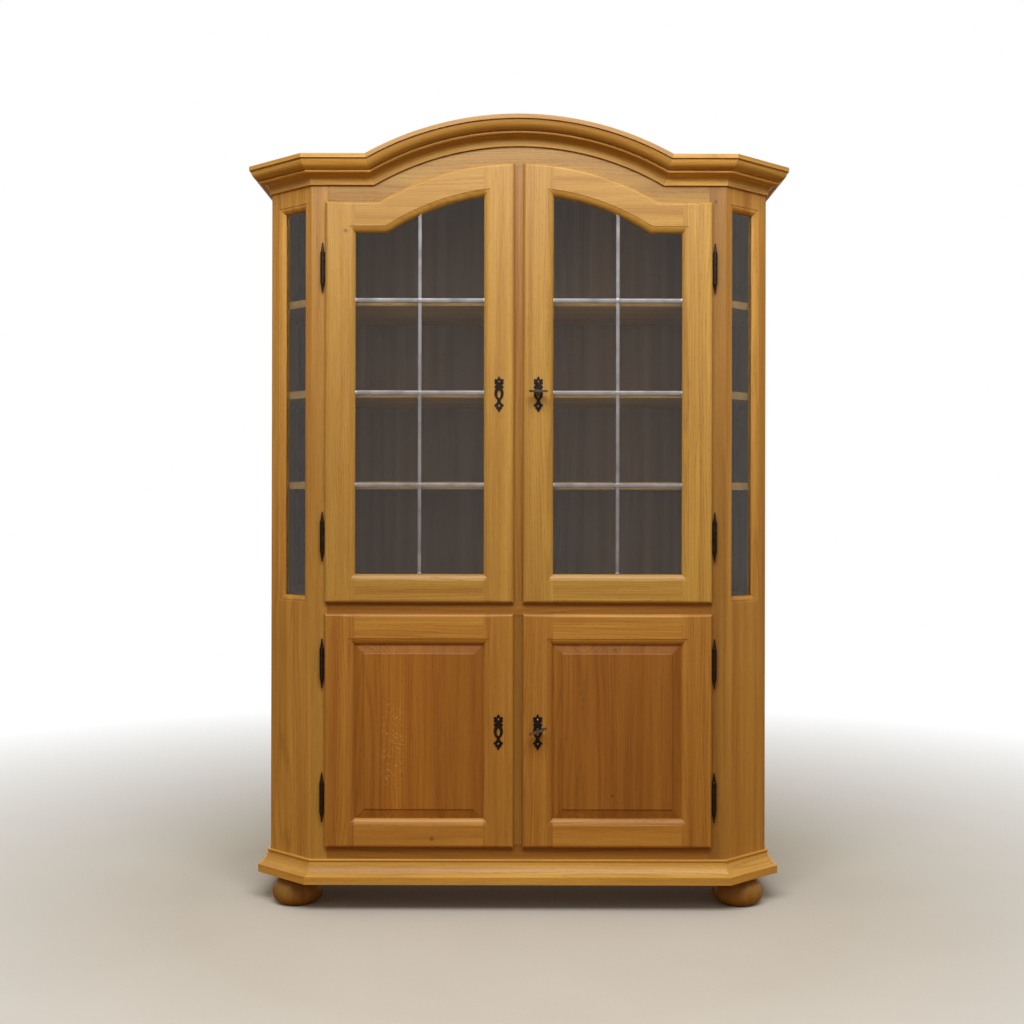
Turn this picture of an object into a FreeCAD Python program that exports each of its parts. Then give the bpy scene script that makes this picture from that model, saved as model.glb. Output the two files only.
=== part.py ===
import FreeCAD, Part
import math
import os
import re
import Sketcher

# Oak display cabinet with an arched cornice, canted front corners, two glazed doors over two
# panelled doors, a moulded plinth and bun feet. Millimetres, +Z up, the front faces -Y, and the
# origin is on the floor under the middle of the cabinet's box.

SIZES = {
    # Plan of the case
    "body_depth": 392,
    "front_half_width": 551,
    "cant_reach": 125,
    "cant_depth": 105,
    "board_thickness": 24,
    "top_thickness": 16,
    "back_thickness": 8,
    # Heights, from the floor up
    "foot_height": 77,
    "bottom_rail_height": 100,
    "lower_opening_height": 605,
    "middle_rail_height": 43,
    "upper_opening_height": 1049,
    "frieze_width": 52,
    "cornice_height": 70,
    "arch_rise": 104,
    "opening_arch_radius": 711,
    # Face frame
    "corner_stile_width": 44,
    "post_width": 38,
    # Cornice and plinth mouldings
    "cornice_overhang": 58,
    "cornice_fillet": 11,
    "plinth_overhang": 32,
    "plinth_height": 61,
    "plinth_fillet": 21,
    "mitre_gap": 0.1,
    # Feet and their blocks
    "foot_radius": 68.5,
    "foot_base_radius": 42,
    "foot_neck_radius": 46,
    "foot_neck_height": 9,
    "foot_belly_height": 31,
    "foot_side_inset": 78,
    "foot_front_inset": 85,
    "foot_back_inset": 78,
    "block_margin": 25,
    "rear_block_size": 90,
    # Shelves
    "shelf_thickness": 20,
    "shelf_clearance": 2,
    "shelf_setback": 10,
    "first_shelf_rise": 305,
    "shelf_pitch": 245.5,
    "lower_shelf_rise": 300,
    "pin_radius": 2.5,
    "pin_length": 20,
    "pin_depth": 11,
    "pin_edge_distance": 42,
    # Doors
    "door_overlap": 7,
    "door_clearance": 2,
    "door_seat_gap": 0.4,
    "lip_thickness": 13,
    "rebate_thickness": 10,
    "lip_rounding": 9,
    "stile_width": 80,
    "door_top_rail_width": 81,
    "door_bottom_rail_width": 76,
    "sticking_width": 16,
    "sticking_depth": 11,
    "sticking_quirk": 1,
    "sticking_round": 15,
    "sight_lip": 2,
    "groove_depth": 7,
    "groove_play": 0.2,
    "pane_thickness": 4,
    # Raised panels of the lower doors
    "panel_tongue": 6,
    "panel_bevel": 25,
    "panel_bevel_rise": 5.5,
    "panel_step": 2,
    # Windows in the canted corners
    "cant_front_flat": 19,
    "cant_back_flat": 31,
    # Lead came
    "came_width": 9.5,
    "came_thickness": 1.8,
    "rosette_radius": 7.5,
    "rosette_height": 0.9,
    # Hinges
    "barrel_radius": 6,
    "barrel_gap": 0.5,
    "knuckle_length": 40,
    "knuckle_gap": 0.3,
    "finial_length": 27,
    "hinge_pin_radius": 3,
    "hinge_pin_length": 30,
    "hinge_play": 0.05,
    "shank_radius": 3,
    "shank_length": 26,
    "shank_seat": 4.2,
    "upper_hinge_inset": 175,
    "lower_hinge_inset": 132,
    # Keyhole plates
    "plate_height": 96.5,
    "plate_width": 24.5,
    "plate_thickness": 1.6,
    "plate_drop": 6,
    "nail_radius": 2.8,
    "nail_height": 1.4,
    "upper_lock_rise": 559,
    "lower_lock_rise": 313,
    # Locks and keys
    "case_margin": 1,
    "case_width": 58,
    "case_height": 64,
    "case_depth": 12,
    "case_wall": 1.5,
    "bolt_height": 12,
    "bolt_thickness": 4,
    "bolt_length": 36,
    "bolt_rise": 18,
    "bolt_throw": 8,
    "bolt_play": 0.3,
    "stem_radius": 3,
    "stem_play": 0.05,
    "keyhole_radius": 4.5,
    "bit_reach": 10,
    "bit_width": 5,
    "bit_thickness": 3,
    "bit_play": 0.6,
    "bow_width": 50,
    "bow_length": 27,
    "bow_rim": 7,
    "bow_side_rim": 6.3,
    "bow_thickness": 4.5,
    "stem_reach": 14,
    "collar_radius": 4.6,
    "collar_length": 3,
    "lower_key_tilt": 20,
    # Ball catches of the left doors
    "catch_radius": 4.5,
    "catch_length": 14,
    "catch_ball_radius": 3.2,
    "catch_ball_reach": 1.2,
    "catch_rise": 90,
    # How far a cutter runs past what it cuts, and the play of a part let into a drilled hole
    "overrun": 5,
    "drill_play": 0.1,
    # Slope of a step in a moulded edge that is otherwise flat
    "step_draft": 0.05,
}

# Places that many pieces share, as expressions of the sizes
FRONT = "((cornice_overhang - body_depth) / 2)"
BACK = "((cornice_overhang + body_depth) / 2)"
FRAME_BACK = f"({FRONT} + board_thickness)"
BACK_INNER = f"({BACK} - back_thickness)"
BODY_HALF = "(front_half_width + cant_reach)"
INNER_HALF = f"({BODY_HALF} - board_thickness)"
CANT_BACK = f"({FRONT} + cant_depth)"
CANT_WIDTH = "sqrt(cant_reach * cant_reach + cant_depth * cant_depth)"
CANT_TURN = "atan(cant_depth / cant_reach)"
FRONT_SLOPE = f"tan({CANT_TURN} / 2)"
SIDE_SLOPE = "tan(atan(cant_reach / cant_depth) / 2)"
FRONT_MITRE = f"({FRONT_SLOPE} * board_thickness)"
SIDE_MITRE = f"({SIDE_SLOPE} * board_thickness)"
OPENING_HALF = "(front_half_width - corner_stile_width)"
LOWER_FLOOR = "(foot_height + bottom_rail_height)"
LOWER_TOP = f"({LOWER_FLOOR} + lower_opening_height)"
UPPER_FLOOR = f"({LOWER_TOP} + middle_rail_height)"
UPPER_TOP = f"({UPPER_FLOOR} + upper_opening_height)"
CORNICE_BOTTOM = f"({UPPER_TOP} + frieze_width)"
FLAT_TOP = f"({CORNICE_BOTTOM} + cornice_height)"
ARCH_CENTRE = f"({UPPER_TOP} + arch_rise - opening_arch_radius)"
CORNICE_RADIUS = "(opening_arch_radius + frieze_width)"
ARCH_HALF_ANGLE = f"acos(({CORNICE_BOTTOM} - {ARCH_CENTRE}) / {CORNICE_RADIUS})"
DOOR_INNER = "(post_width / 2 - door_overlap)"
DOOR_OUTER = f"({OPENING_HALF} + door_overlap)"
DOOR_FACE = f"({FRONT} - door_seat_gap - lip_thickness)"
LIP_BACK = f"({FRONT} - door_seat_gap)"
DOOR_BACK = f"({LIP_BACK} + rebate_thickness)"
GROOVE_FRONT = f"({DOOR_FACE} + sticking_depth + sight_lip)"
REBATE_INSET = "(door_overlap + door_clearance)"
KEY_X = f"({DOOR_INNER} + stile_width / 2)"
HINGE_X = f"({DOOR_OUTER} + barrel_gap + barrel_radius)"
HINGE_Y = f"({FRONT} - barrel_gap - barrel_radius)"

doc = FreeCAD.newDocument("display_cabinet")
sheet = doc.addObject("Spreadsheet::Sheet", "Sizes")
pieces = []


def fill_sheet():
    """Write the driving sizes to the sheet, one row each."""
    for row, (name, size) in enumerate(SIZES.items(), start=1):
        sheet.set(f"A{row}", name)
        sheet.set(f"B{row}", str(size))
        sheet.setAlias(f"B{row}", name)
    doc.recompute()


def bound(text):
    """Put the sheet's name before every size in an expression."""
    def qualify(match):
        word = match.group(0)
        return f"Sizes.{word}" if word in SIZES else word
    return re.sub(r"[A-Za-z_]\w*", qualify, str(text))


def worth(text):
    """The number that an expression of the sizes comes to."""
    return float(sheet.evalExpression(bound(text)))


def point(x, y, z):
    """A point from three expressions."""
    return FreeCAD.Vector(worth(x), worth(y), worth(z))


def piece(thing):
    """Keep an object as a sub-part of the cabinet."""
    pieces.append(thing)
    return thing


# Sketches and bodies


def arc_between(start, end, radius):
    """Arc from start to end: counter-clockwise when the radius is positive, else clockwise."""
    chord = end - start
    across = FreeCAD.Vector(-chord.y, chord.x, 0).normalize()
    rise = math.sqrt(max(radius * radius - chord.Length ** 2 / 4, 0))
    centre = (start + end) * 0.5 + across * math.copysign(rise, radius)
    first, last = (start, end) if radius > 0 else (end, start)
    low = math.atan2(first.y - centre.y, first.x - centre.x)
    high = math.atan2(last.y - centre.y, last.x - centre.x)
    if high < low:
        high += 2 * math.pi
    circle = Part.Circle(centre, FreeCAD.Vector(0, 0, 1), abs(radius))
    return Part.ArcOfCircle(circle, low, high)


def draw(sketch, corners):
    """Closed outline through corners (across, up) or (across, up, radius of the arc to it)."""
    spots = [point(corner[0], corner[1], "0") for corner in corners]
    edges = []
    ends = []
    for index, corner in enumerate(corners):
        start, end = spots[index - 1], spots[index]
        if len(corner) == 3:
            radius = worth(corner[2])
            edges.append(arc_between(start, end, radius))
            ends.append((1, 2) if radius > 0 else (2, 1))
        else:
            edges.append(Part.LineSegment(start, end))
            ends.append((1, 2))
    sketch.addGeometry(edges, False)
    for index in range(len(corners)):
        after = (index + 1) % len(corners)
        joined = Sketcher.Constraint("Coincident", index, ends[index][1], after, ends[after][0])
        sketch.addConstraint(joined)
    for index, corner in enumerate(corners):
        for kind, value, text in (
            ("DistanceX", spots[index].x, corner[0]),
            ("DistanceY", spots[index].y, corner[1]),
        ):
            made = sketch.addConstraint(Sketcher.Constraint(kind, -1, 1, index, ends[index][1], value))
            sketch.setExpression(f"Constraints[{made}]", bound(text))
        if len(corner) == 3:
            made = sketch.addConstraint(Sketcher.Constraint("Radius", index, abs(worth(corner[2]))))
            sketch.setExpression(f"Constraints[{made}]", bound(f"abs({corner[2]})"))


def new_sketch(body, plane, place, corners):
    """Sketch on one of the body's own planes, moved along the plane's axis to a place."""
    sketch = body.newObject("Sketcher::SketchObject", f"{body.Label}_outline")
    support = [item for item in body.Origin.OriginFeatures if item.Role == f"{plane}_Plane"][0]
    sketch.AttachmentSupport = (support, [""])
    sketch.MapMode = "FlatFace"
    along = f"0 - ({place})" if plane == "XZ" else place
    sketch.setExpression("AttachmentOffset.Base.z", bound(along))
    draw(sketch, corners)
    return sketch


def prism(label, plane, place, depth, corners):
    """Body padded from an outline, from place to place + depth along the plane's axis."""
    body = doc.addObject("PartDesign::Body", label)
    pad_on(body, plane, place, depth, corners)
    return body


def pad_on(body, plane, place, depth, corners):
    """Add one more pad to a body."""
    pad = body.newObject("PartDesign::Pad", f"{body.Label}_pad")
    pad.Profile = new_sketch(body, plane, place, corners)
    pad.setExpression("Length", bound(depth))
    pad.Reversed = plane == "XZ"
    body.Tip = pad
    return pad


def pocket_in(body, plane, place, depth, corners):
    """Cut an outline out of a body, from place to place + depth along the plane's axis."""
    doc.recompute()
    before = body.Shape.Volume
    pocket = body.newObject("PartDesign::Pocket", f"{body.Label}_pocket")
    pocket.Profile = new_sketch(body, plane, place, corners)
    pocket.setExpression("Length", bound(depth))
    pocket.Reversed = plane != "XZ"
    body.Tip = pocket
    doc.recompute()
    if body.Shape.Volume >= before:
        raise ValueError(f"{body.Label}: the pocket cuts nothing")


def turned(label, corners):
    """Body turned about its own Z axis from an outline (radius, height)."""
    body = doc.addObject("PartDesign::Body", label)
    turning = body.newObject("PartDesign::Revolution", f"{label}_turning")
    profile = new_sketch(body, "XZ", "0", corners)
    turning.Profile = profile
    turning.ReferenceAxis = (profile, ["V_Axis"])
    turning.Angle = 360
    body.Tip = turning
    return body


def set_place(thing, x, y, z, turn="0"):
    """Place an object, turned about Z."""
    for axis, text in (("x", x), ("y", y), ("z", z)):
        thing.setExpression(f"Placement.Base.{axis}", bound(text))
    if turn != "0":
        thing.Placement.Rotation = FreeCAD.Rotation(FreeCAD.Vector(0, 0, 1), worth(turn))
        thing.setExpression("Placement.Rotation.Angle", bound(turn))


# Plain solids and what joins them


def box(label, x, y, z):
    """Board between two places along each axis."""
    block = doc.addObject("Part::Box", label)
    for size, axis, (low, high) in (("Length", "x", x), ("Width", "y", y), ("Height", "z", z)):
        block.setExpression(size, bound(f"({high}) - ({low})"))
        block.setExpression(f"Placement.Base.{axis}", bound(low))
    return block


def rod(label, radius, length, start, direction):
    """Cylinder from a start point (three expressions) along an axis."""
    cylinder = doc.addObject("Part::Cylinder", label)
    cylinder.setExpression("Radius", bound(radius))
    cylinder.setExpression("Height", bound(length))
    up = FreeCAD.Vector(0, 0, 1)
    cylinder.Placement = FreeCAD.Placement(point(*start), FreeCAD.Rotation(up, FreeCAD.Vector(*direction)))
    for axis, text in zip("xyz", start):
        cylinder.setExpression(f"Placement.Base.{axis}", bound(text))
    return cylinder


def cut(label, base, tool):
    """Base with the tool taken out."""
    result = doc.addObject("Part::Cut", label)
    result.Base = base
    result.Tool = tool
    return result


def common(label, first, second):
    """What two solids share."""
    result = doc.addObject("Part::MultiCommon", label)
    result.Shapes = [first, second]
    return result


def fused(label, members):
    """Several solids made one."""
    result = doc.addObject("Part::MultiFuse", label)
    result.Shapes = members
    result.Refine = True
    return result


def group(label, members):
    """Separate solids that share one sub-part."""
    result = doc.addObject("Part::Compound", label)
    result.Links = members
    return result


def mirrored(label, source):
    """The left-hand twin of a right-hand piece."""
    result = doc.addObject("Part::Mirroring", label)
    result.Source = source
    result.Normal = FreeCAD.Vector(1, 0, 0)
    return result


def repeated(label, source, places):
    """The same solid at several places, each three expressions."""
    doc.recompute()
    copies = []
    for place in places:
        copy = source.Shape.copy()
        copy.translate(point(*place))
        copies.append(copy)
    result = doc.addObject("Part::Feature", label)
    result.Shape = Part.makeCompound(copies) if len(copies) > 1 else copies[0]
    return result


def solid_of(label, shape):
    """Keep a shape that was worked out in code."""
    result = doc.addObject("Part::Feature", label)
    result.Shape = shape
    return result


# Openings in the doors and the canted corners


class Opening:
    """A sight opening in the XZ plane: a rectangle, or one with an arch that rises to x = 0."""

    def __init__(self, across, up, radius=None):
        self.low_x, self.high_x = (worth(text) for text in across)
        self.low_z, self.high_z = (worth(text) for text in up)
        self.radius = None if radius is None else worth(radius)
        self.centre = worth(ARCH_CENTRE)

    def ring(self, grow, depth):
        """The opening's outline, grown by a margin, at a depth along Y."""
        low_x, high_x = self.low_x - grow, self.high_x + grow
        low_z, high_z = self.low_z - grow, self.high_z + grow
        corners = [(low_x, low_z), (high_x, low_z), (high_x, high_z)]
        if self.radius is None:
            corners.append((low_x, high_z))
            spots = [FreeCAD.Vector(x, depth, z) for x, z in corners]
            return Part.makePolygon(spots + spots[:1])
        radius = self.radius + grow
        spring_x = math.sqrt(radius ** 2 - (high_z - self.centre) ** 2)
        inner_z = self.centre + math.sqrt(radius ** 2 - low_x ** 2)
        middle = math.atan2((spring_x + low_x) / 2, (high_z + inner_z) / 2 - self.centre)
        corners.append((spring_x, high_z))
        spots = [FreeCAD.Vector(x, depth, z) for x, z in corners]
        crest = FreeCAD.Vector(radius * math.sin(middle), depth, self.centre + radius * math.cos(middle))
        end = FreeCAD.Vector(low_x, depth, inner_z)
        edges = [Part.LineSegment(a, b).toShape() for a, b in zip(spots, spots[1:])]
        edges.append(Part.Arc(spots[-1], crest, end).toShape())
        edges.append(Part.LineSegment(end, spots[0]).toShape())
        return Part.Wire(edges)

    def layers(self, steps):
        """Solid through the outline at each (grow, depth), with straight walls between them."""
        return Part.makeLoft([self.ring(grow, depth) for grow, depth in steps], True, True)


# Where the sticking's rounding starts and ends, as shares of a quarter turn
STICKING_SWEEP_SHARES = (0.25, 0.85)


def sticking_steps(face):
    """Profile of the moulded inner edge: a quirk, then a flat ovolo, as (grow, depth) pairs."""
    width, depth, quirk = worth("sticking_width"), worth("sticking_depth"), worth("sticking_quirk")
    fall = depth - 2 * quirk
    reach = worth("sticking_round")
    first, last = (share * math.pi / 2 for share in STICKING_SWEEP_SHARES)
    steps = [(width, face - worth("overrun")), (width, face + quirk)]
    facets = 6
    for index in range(1, facets + 1):
        angle = first + (last - first) * index / facets
        across = (math.sin(angle) - math.sin(first)) / (math.sin(last) - math.sin(first))
        down = (math.cos(first) - math.cos(angle)) / (math.cos(first) - math.cos(last))
        steps.append((width - reach * across, face + quirk + fall * down))
    steps.append((steps[-1][0], face + depth))
    return steps


def opening_cutter(label, opening, face, back, groove):
    """What a moulded and grooved sight opening takes out of its frame."""
    front = worth(face)
    groove_front = front + worth("sticking_depth + sight_lip")
    reach = worth("groove_depth + groove_play")
    sticking = opening.layers(sticking_steps(front))
    through = opening.layers([(0, front - worth("overrun")), (0, worth(back) + worth("overrun"))])
    slot = opening.layers([(reach, groove_front), (reach, groove_front + groove)])
    return solid_of(label, sticking.fuse([through, slot]))


# Mouldings


# Moulded edges, from their low end up: places outward and up, and for an arc its radius, negative
# for a hollow, as shares of the overhang and of the moulded height
CORNICE_SHARES = [
    (0.1, 0),
    (0.12, 0.2),
    (0.44, 0.44, -0.29),
    (0.52, 0.44),
    (0.52, 0.58, 0.075),
    (0.59, 0.58),
    (0.92, 0.95, 0.42),
    (0.92, 1),
]
PLINTH_SHARES = [
    (0.95, 0),
    (0.2, 0.85, -0.95),
    (0.28, 0.89),
    (0.28, 0.97),
    (0.24, 1),
]


def edge_corners(shares, reach, low, high):
    """Corners of a moulded edge between two heights, each with the radius of the arc to it."""
    corners = []
    for across, up, *curve in shares:
        radius = tuple(f"(({high}) - ({low})) * ({share})" for share in curve)
        corners.append((f"{reach} * {across}", f"{low} + (({high}) - ({low})) * {up}") + radius)
    return corners


CORNICE_PROFILE = [
    ("0", "0"),
    *edge_corners(CORNICE_SHARES, "cornice_overhang", "0", "cornice_height - cornice_fillet"),
    ("cornice_overhang", "cornice_height - cornice_fillet"),
    ("cornice_overhang", "cornice_height"),
    ("0", "cornice_height"),
]

PLINTH_PROFILE = [
    ("0", "0"),
    ("plinth_overhang", "0"),
    ("plinth_overhang", "plinth_fillet"),
    *edge_corners(PLINTH_SHARES, "plinth_overhang", "plinth_fillet", "plinth_height"),
    ("0", "plinth_height"),
]


def outward(profile, up="0"):
    """A profile's corners on the YZ plane, outward towards -Y, which turns its arcs round."""
    corners = []
    for across, height, *curve in profile:
        radius = tuple(f"0 - ({text})" for text in curve)
        corners.append((f"0 - ({across})", f"{height} + {up}") + radius)
    return corners


def mitre(body, corner, side, slope, reach, height):
    """Cut a moulding's end for a plan corner; side is 1 for its high end and -1 for its low one."""
    slope = f"({side}) * {slope}"
    line = f"({corner} - ({side}) * mitre_gap / 2)"
    outer = f"({line} + {slope} * ({reach} + overrun))"
    far = f"({outer} + ({side}) * overrun)"
    wedge = [
        (f"{line} - {slope} * overrun", "overrun"),
        (outer, f"0 - ({reach}) - overrun"),
        (far, f"0 - ({reach}) - overrun"),
        (far, "overrun"),
    ]
    pocket_in(body, "XY", "0 - overrun", f"{height} + 2 * overrun", wedge)


def moulding(label, profile, reach, height, ends, slopes):
    """Length of moulding along its own X axis between two ends, each with its mitre's slope or 0."""
    low, high = ends
    first = f"({low} - {slopes[0]} * {reach})"
    last = f"({high} + {slopes[1]} * {reach})"
    body = prism(label, "YZ", first, f"{last} - ({first})", outward(profile))
    for corner, side, slope in zip(ends, (-1, 1), slopes):
        if slope != "0":
            mitre(body, corner, side, slope, reach, height)
    return body


def return_lengths(name, profile, reach, height, level):
    """The moulding on the right-hand canted corner and side, mitred where they meet."""
    cant = moulding(f"{name}_cant_length", profile, reach, height, ("0", CANT_WIDTH),
                    (FRONT_SLOPE, SIDE_SLOPE))
    set_place(cant, "front_half_width", FRONT, level, CANT_TURN)
    side_ends = ("0", f"{BACK} - {CANT_BACK}")
    side = moulding(f"{name}_side_length", profile, reach, height, side_ends, (SIDE_SLOPE, "0"))
    set_place(side, BODY_HALF, CANT_BACK, level, "90")
    return [cant, side]


def spring_wedge(side):
    """What the mitre at the arch's spring takes off, about the cornice's bottom: side is 1 for
    what lies beyond it and -1 for what lies within."""
    low, high = "(0 - overrun)", "(cornice_height + overrun)"
    spring_x = f"({CORNICE_RADIUS} * sin({ARCH_HALF_ANGLE}) - ({side}) * mitre_gap / 2)"
    slope = f"tan({ARCH_HALF_ANGLE} / 2)"
    far = f"({spring_x} + {CORNICE_RADIUS})" if side > 0 else "0"
    return [
        (f"{spring_x} + {slope} * {low}", low),
        (far, low),
        (far, high),
        (f"{spring_x} + {slope} * {high}", high),
    ]


def cornice_arch():
    """The arched length: the profile turned about the arch's centre and mitred at both ends."""
    body = doc.addObject("PartDesign::Body", "cornice_arch")
    turning = body.newObject("PartDesign::Revolution", "cornice_arch_turning")
    profile = new_sketch(body, "YZ", "0", outward(CORNICE_PROFILE, CORNICE_RADIUS))
    turning.Profile = profile
    turning.ReferenceAxis = (profile, ["H_Axis"])
    turning.setExpression("Angle", bound(f"2 * {ARCH_HALF_ANGLE}"))
    turning.Midplane = True
    body.Tip = turning
    rise = f"({CORNICE_RADIUS} * cos({ARCH_HALF_ANGLE}))"
    for sign in ("1", "(0 - 1)"):
        wedge = [(f"{sign} * ({across})", f"{rise} + {up}") for across, up in spring_wedge(1)]
        pocket_in(body, "XZ", "0 - cornice_overhang - overrun", "cornice_overhang + 2 * overrun", wedge)
    set_place(body, "0", FRONT, ARCH_CENTRE)
    return body


def cornice_front():
    """The straight length on the right of the arch."""
    spring_x = f"({CORNICE_RADIUS} * sin({ARCH_HALF_ANGLE}))"
    body = moulding("cornice_front_length", CORNICE_PROFILE, "cornice_overhang", "cornice_height",
                    (spring_x, "front_half_width"), ("0", FRONT_SLOPE))
    depth = "cornice_overhang + 2 * overrun"
    pocket_in(body, "XZ", "0 - cornice_overhang - overrun", depth, spring_wedge(-1))
    set_place(body, "0", FRONT, CORNICE_BOTTOM)
    return body


def build_mouldings():
    """Cornice and plinth."""
    piece(cornice_arch())
    lengths = [cornice_front()]
    lengths += return_lengths("cornice", CORNICE_PROFILE, "cornice_overhang", "cornice_height",
                              CORNICE_BOTTOM)
    right = piece(group("cornice_right", lengths))
    piece(mirrored("cornice_left", right))
    front = moulding("plinth_front", PLINTH_PROFILE, "plinth_overhang", "plinth_height",
                     ("0 - front_half_width", "front_half_width"), (FRONT_SLOPE, FRONT_SLOPE))
    set_place(front, "0", FRONT, "foot_height")
    piece(front)
    returns = return_lengths("plinth", PLINTH_PROFILE, "plinth_overhang", "plinth_height",
                             "foot_height")
    right = piece(group("plinth_right", returns))
    piece(mirrored("plinth_left", right))


# The case


def inner_outline(clearance="0", setback="0"):
    """Plan inside the case, half by half: shelves keep a clearance and stand back from the front."""
    shell = f"(board_thickness + {clearance})"
    back_step = f"({setback} - {clearance}) * cant_reach / cant_depth"
    front_x = f"front_half_width - {FRONT_SLOPE} * {shell} + {back_step}"
    side_x = f"{BODY_HALF} - {shell}"
    half = [
        (front_x, f"{FRAME_BACK} + {setback}"),
        (side_x, f"{CANT_BACK} + {SIDE_SLOPE} * {shell}"),
        (side_x, f"{BACK_INNER} - {clearance}"),
    ]
    other = [(f"0 - ({x})", y) for x, y in reversed(half)]
    return half + other


def shelf_levels():
    """Middle height of each shelf in the upper part, from the lowest up."""
    return [f"({UPPER_FLOOR} + first_shelf_rise + {index} * shelf_pitch)" for index in range(3)]


def shelf_middles():
    """Middle height of every shelf."""
    return shelf_levels() + [f"({LOWER_FLOOR} + lower_shelf_rise)"]


def pin_places():
    """Where the right-hand shelf pins enter the side panel: depth and height of each."""
    depths = [
        f"{CANT_BACK} + {SIDE_MITRE} + pin_edge_distance",
        f"{BACK_INNER} - pin_edge_distance",
    ]
    heights = [f"{level} - shelf_thickness / 2 - pin_radius" for level in shelf_middles()]
    return [(depth, height) for depth in depths for height in heights]


def build_boards():
    """Bottom, middle and top boards, back panel and shelves."""
    plan = inner_outline()
    for name, top, thickness in (
        ("bottom_board", LOWER_FLOOR, "board_thickness"),
        ("middle_board", UPPER_FLOOR, "board_thickness"),
        ("top_board", FLAT_TOP, "top_thickness"),
    ):
        piece(prism(name, "XY", f"{top} - {thickness}", thickness, plan))
    piece(box("back_panel", (f"0 - {INNER_HALF}", INNER_HALF), (BACK_INNER, BACK),
              (f"{LOWER_FLOOR} - board_thickness", FLAT_TOP)))
    names = ["upper_shelf_low", "upper_shelf_middle", "upper_shelf_high", "lower_shelf"]
    plan = inner_outline("shelf_clearance", "shelf_setback")
    for name, level in zip(names, shelf_middles()):
        piece(prism(name, "XY", f"{level} - shelf_thickness / 2", "shelf_thickness", plan))
    pins = []
    for index, (depth, height) in enumerate(pin_places()):
        start = (f"{INNER_HALF} + pin_depth", depth, height)
        pins.append(rod(f"pin_{index}", "pin_radius", "pin_length", start, (-1, 0, 0)))
    right = group("shelf_pins_right", pins)
    piece(group("shelf_pins", [right, mirrored("shelf_pins_left", right)]))


def build_sides():
    """Side panels, drilled for the shelf pins."""
    outline = [
        (BODY_HALF, CANT_BACK),
        (BODY_HALF, BACK),
        (INNER_HALF, BACK),
        (INNER_HALF, f"{CANT_BACK} + {SIDE_MITRE}"),
    ]
    board = prism("side_board", "XY", "foot_height", f"{FLAT_TOP} - foot_height", outline)
    holes = []
    for index, (depth, height) in enumerate(pin_places()):
        start = (f"{INNER_HALF} + pin_depth + drill_play", depth, height)
        hole = rod(f"pin_hole_{index}", "pin_radius + drill_play", "pin_depth + overrun", start,
                   (-1, 0, 0))
        holes.append(hole)
    right = piece(cut("side_panel_right", board, group("pin_holes", holes)))
    piece(mirrored("side_panel_left", right))


def build_cants():
    """Canted corner boards, each with a moulded window, and their panes."""
    outline = [
        ("0", "0"),
        (CANT_WIDTH, "0"),
        (f"{CANT_WIDTH} - {SIDE_MITRE}", "board_thickness"),
        (FRONT_MITRE, "board_thickness"),
    ]
    board = prism("cant_board", "XY", "foot_height", f"{FLAT_TOP} - foot_height", outline)
    across = ("cant_front_flat + sticking_width", f"{CANT_WIDTH} - cant_back_flat - sticking_width")
    bottom, top = door_span("upper")
    sill, head = f"{bottom} + sticking_width", f"{top} - sticking_width"
    window = Opening(across, (sill, head))
    tool = opening_cutter("cant_window_cutter", window, "0", "board_thickness",
                          worth("pane_thickness + groove_play"))
    right = piece(cut("cant_frame_right", board, tool))
    set_place(right, "front_half_width", FRONT, "0", CANT_TURN)
    piece(mirrored("cant_frame_left", right))
    front = worth("sticking_depth + sight_lip + groove_play / 2")
    reach = worth("groove_depth")
    back = front + worth("pane_thickness")
    pane = solid_of("cant_pane_right", window.layers([(reach, front), (reach, back)]))
    set_place(pane, "front_half_width", FRONT, "0", CANT_TURN)
    piece(pane)
    piece(mirrored("cant_pane_left", pane))


def hinge_levels():
    """Middle height of every hinge, two to a door: the lower doors' first."""
    return {
        "lower": [
            f"({LOWER_FLOOR} - door_overlap + lower_hinge_inset)",
            f"({LOWER_TOP} + door_overlap - lower_hinge_inset)",
        ],
        "upper": [
            f"({UPPER_FLOOR} - door_overlap + upper_hinge_inset)",
            f"({UPPER_TOP} + door_overlap - upper_hinge_inset)",
        ],
    }


def lock_level(door):
    """Height of a door's keyhole."""
    floor = {"lower": LOWER_FLOOR, "upper": UPPER_FLOOR}[door]
    return f"({floor} - door_overlap + {door}_lock_rise)"


def build_face_frame():
    """Corner stiles, rails and centre post."""
    outline = [
        (OPENING_HALF, FRONT),
        ("front_half_width", FRONT),
        (f"front_half_width - {FRONT_MITRE}", FRAME_BACK),
        (OPENING_HALF, FRAME_BACK),
    ]
    board = prism("stile_board", "XY", "foot_height", f"{FLAT_TOP} - foot_height", outline)
    holes = []
    for door, levels in hinge_levels().items():
        for index, level in enumerate(levels):
            start = (HINGE_X, f"{FRONT} - overrun", f"{level} - knuckle_length / 2")
            depth = "overrun + shank_length - barrel_radius - barrel_gap + drill_play"
            hole = rod(f"stile_hole_{door}_{index}", "shank_radius + drill_play", depth, start,
                       (0, 1, 0))
            holes.append(hole)
    right = piece(cut("corner_stile_right", board, group("stile_holes", holes)))
    piece(mirrored("corner_stile_left", right))

    across = (f"0 - {OPENING_HALF}", OPENING_HALF)
    piece(box("bottom_rail", across, (FRONT, FRAME_BACK), ("foot_height", LOWER_FLOOR)))
    piece(box("middle_rail", across, (FRONT, FRAME_BACK), (LOWER_TOP, UPPER_FLOOR)))
    piece(arched_rail())
    piece(centre_post())


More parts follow.
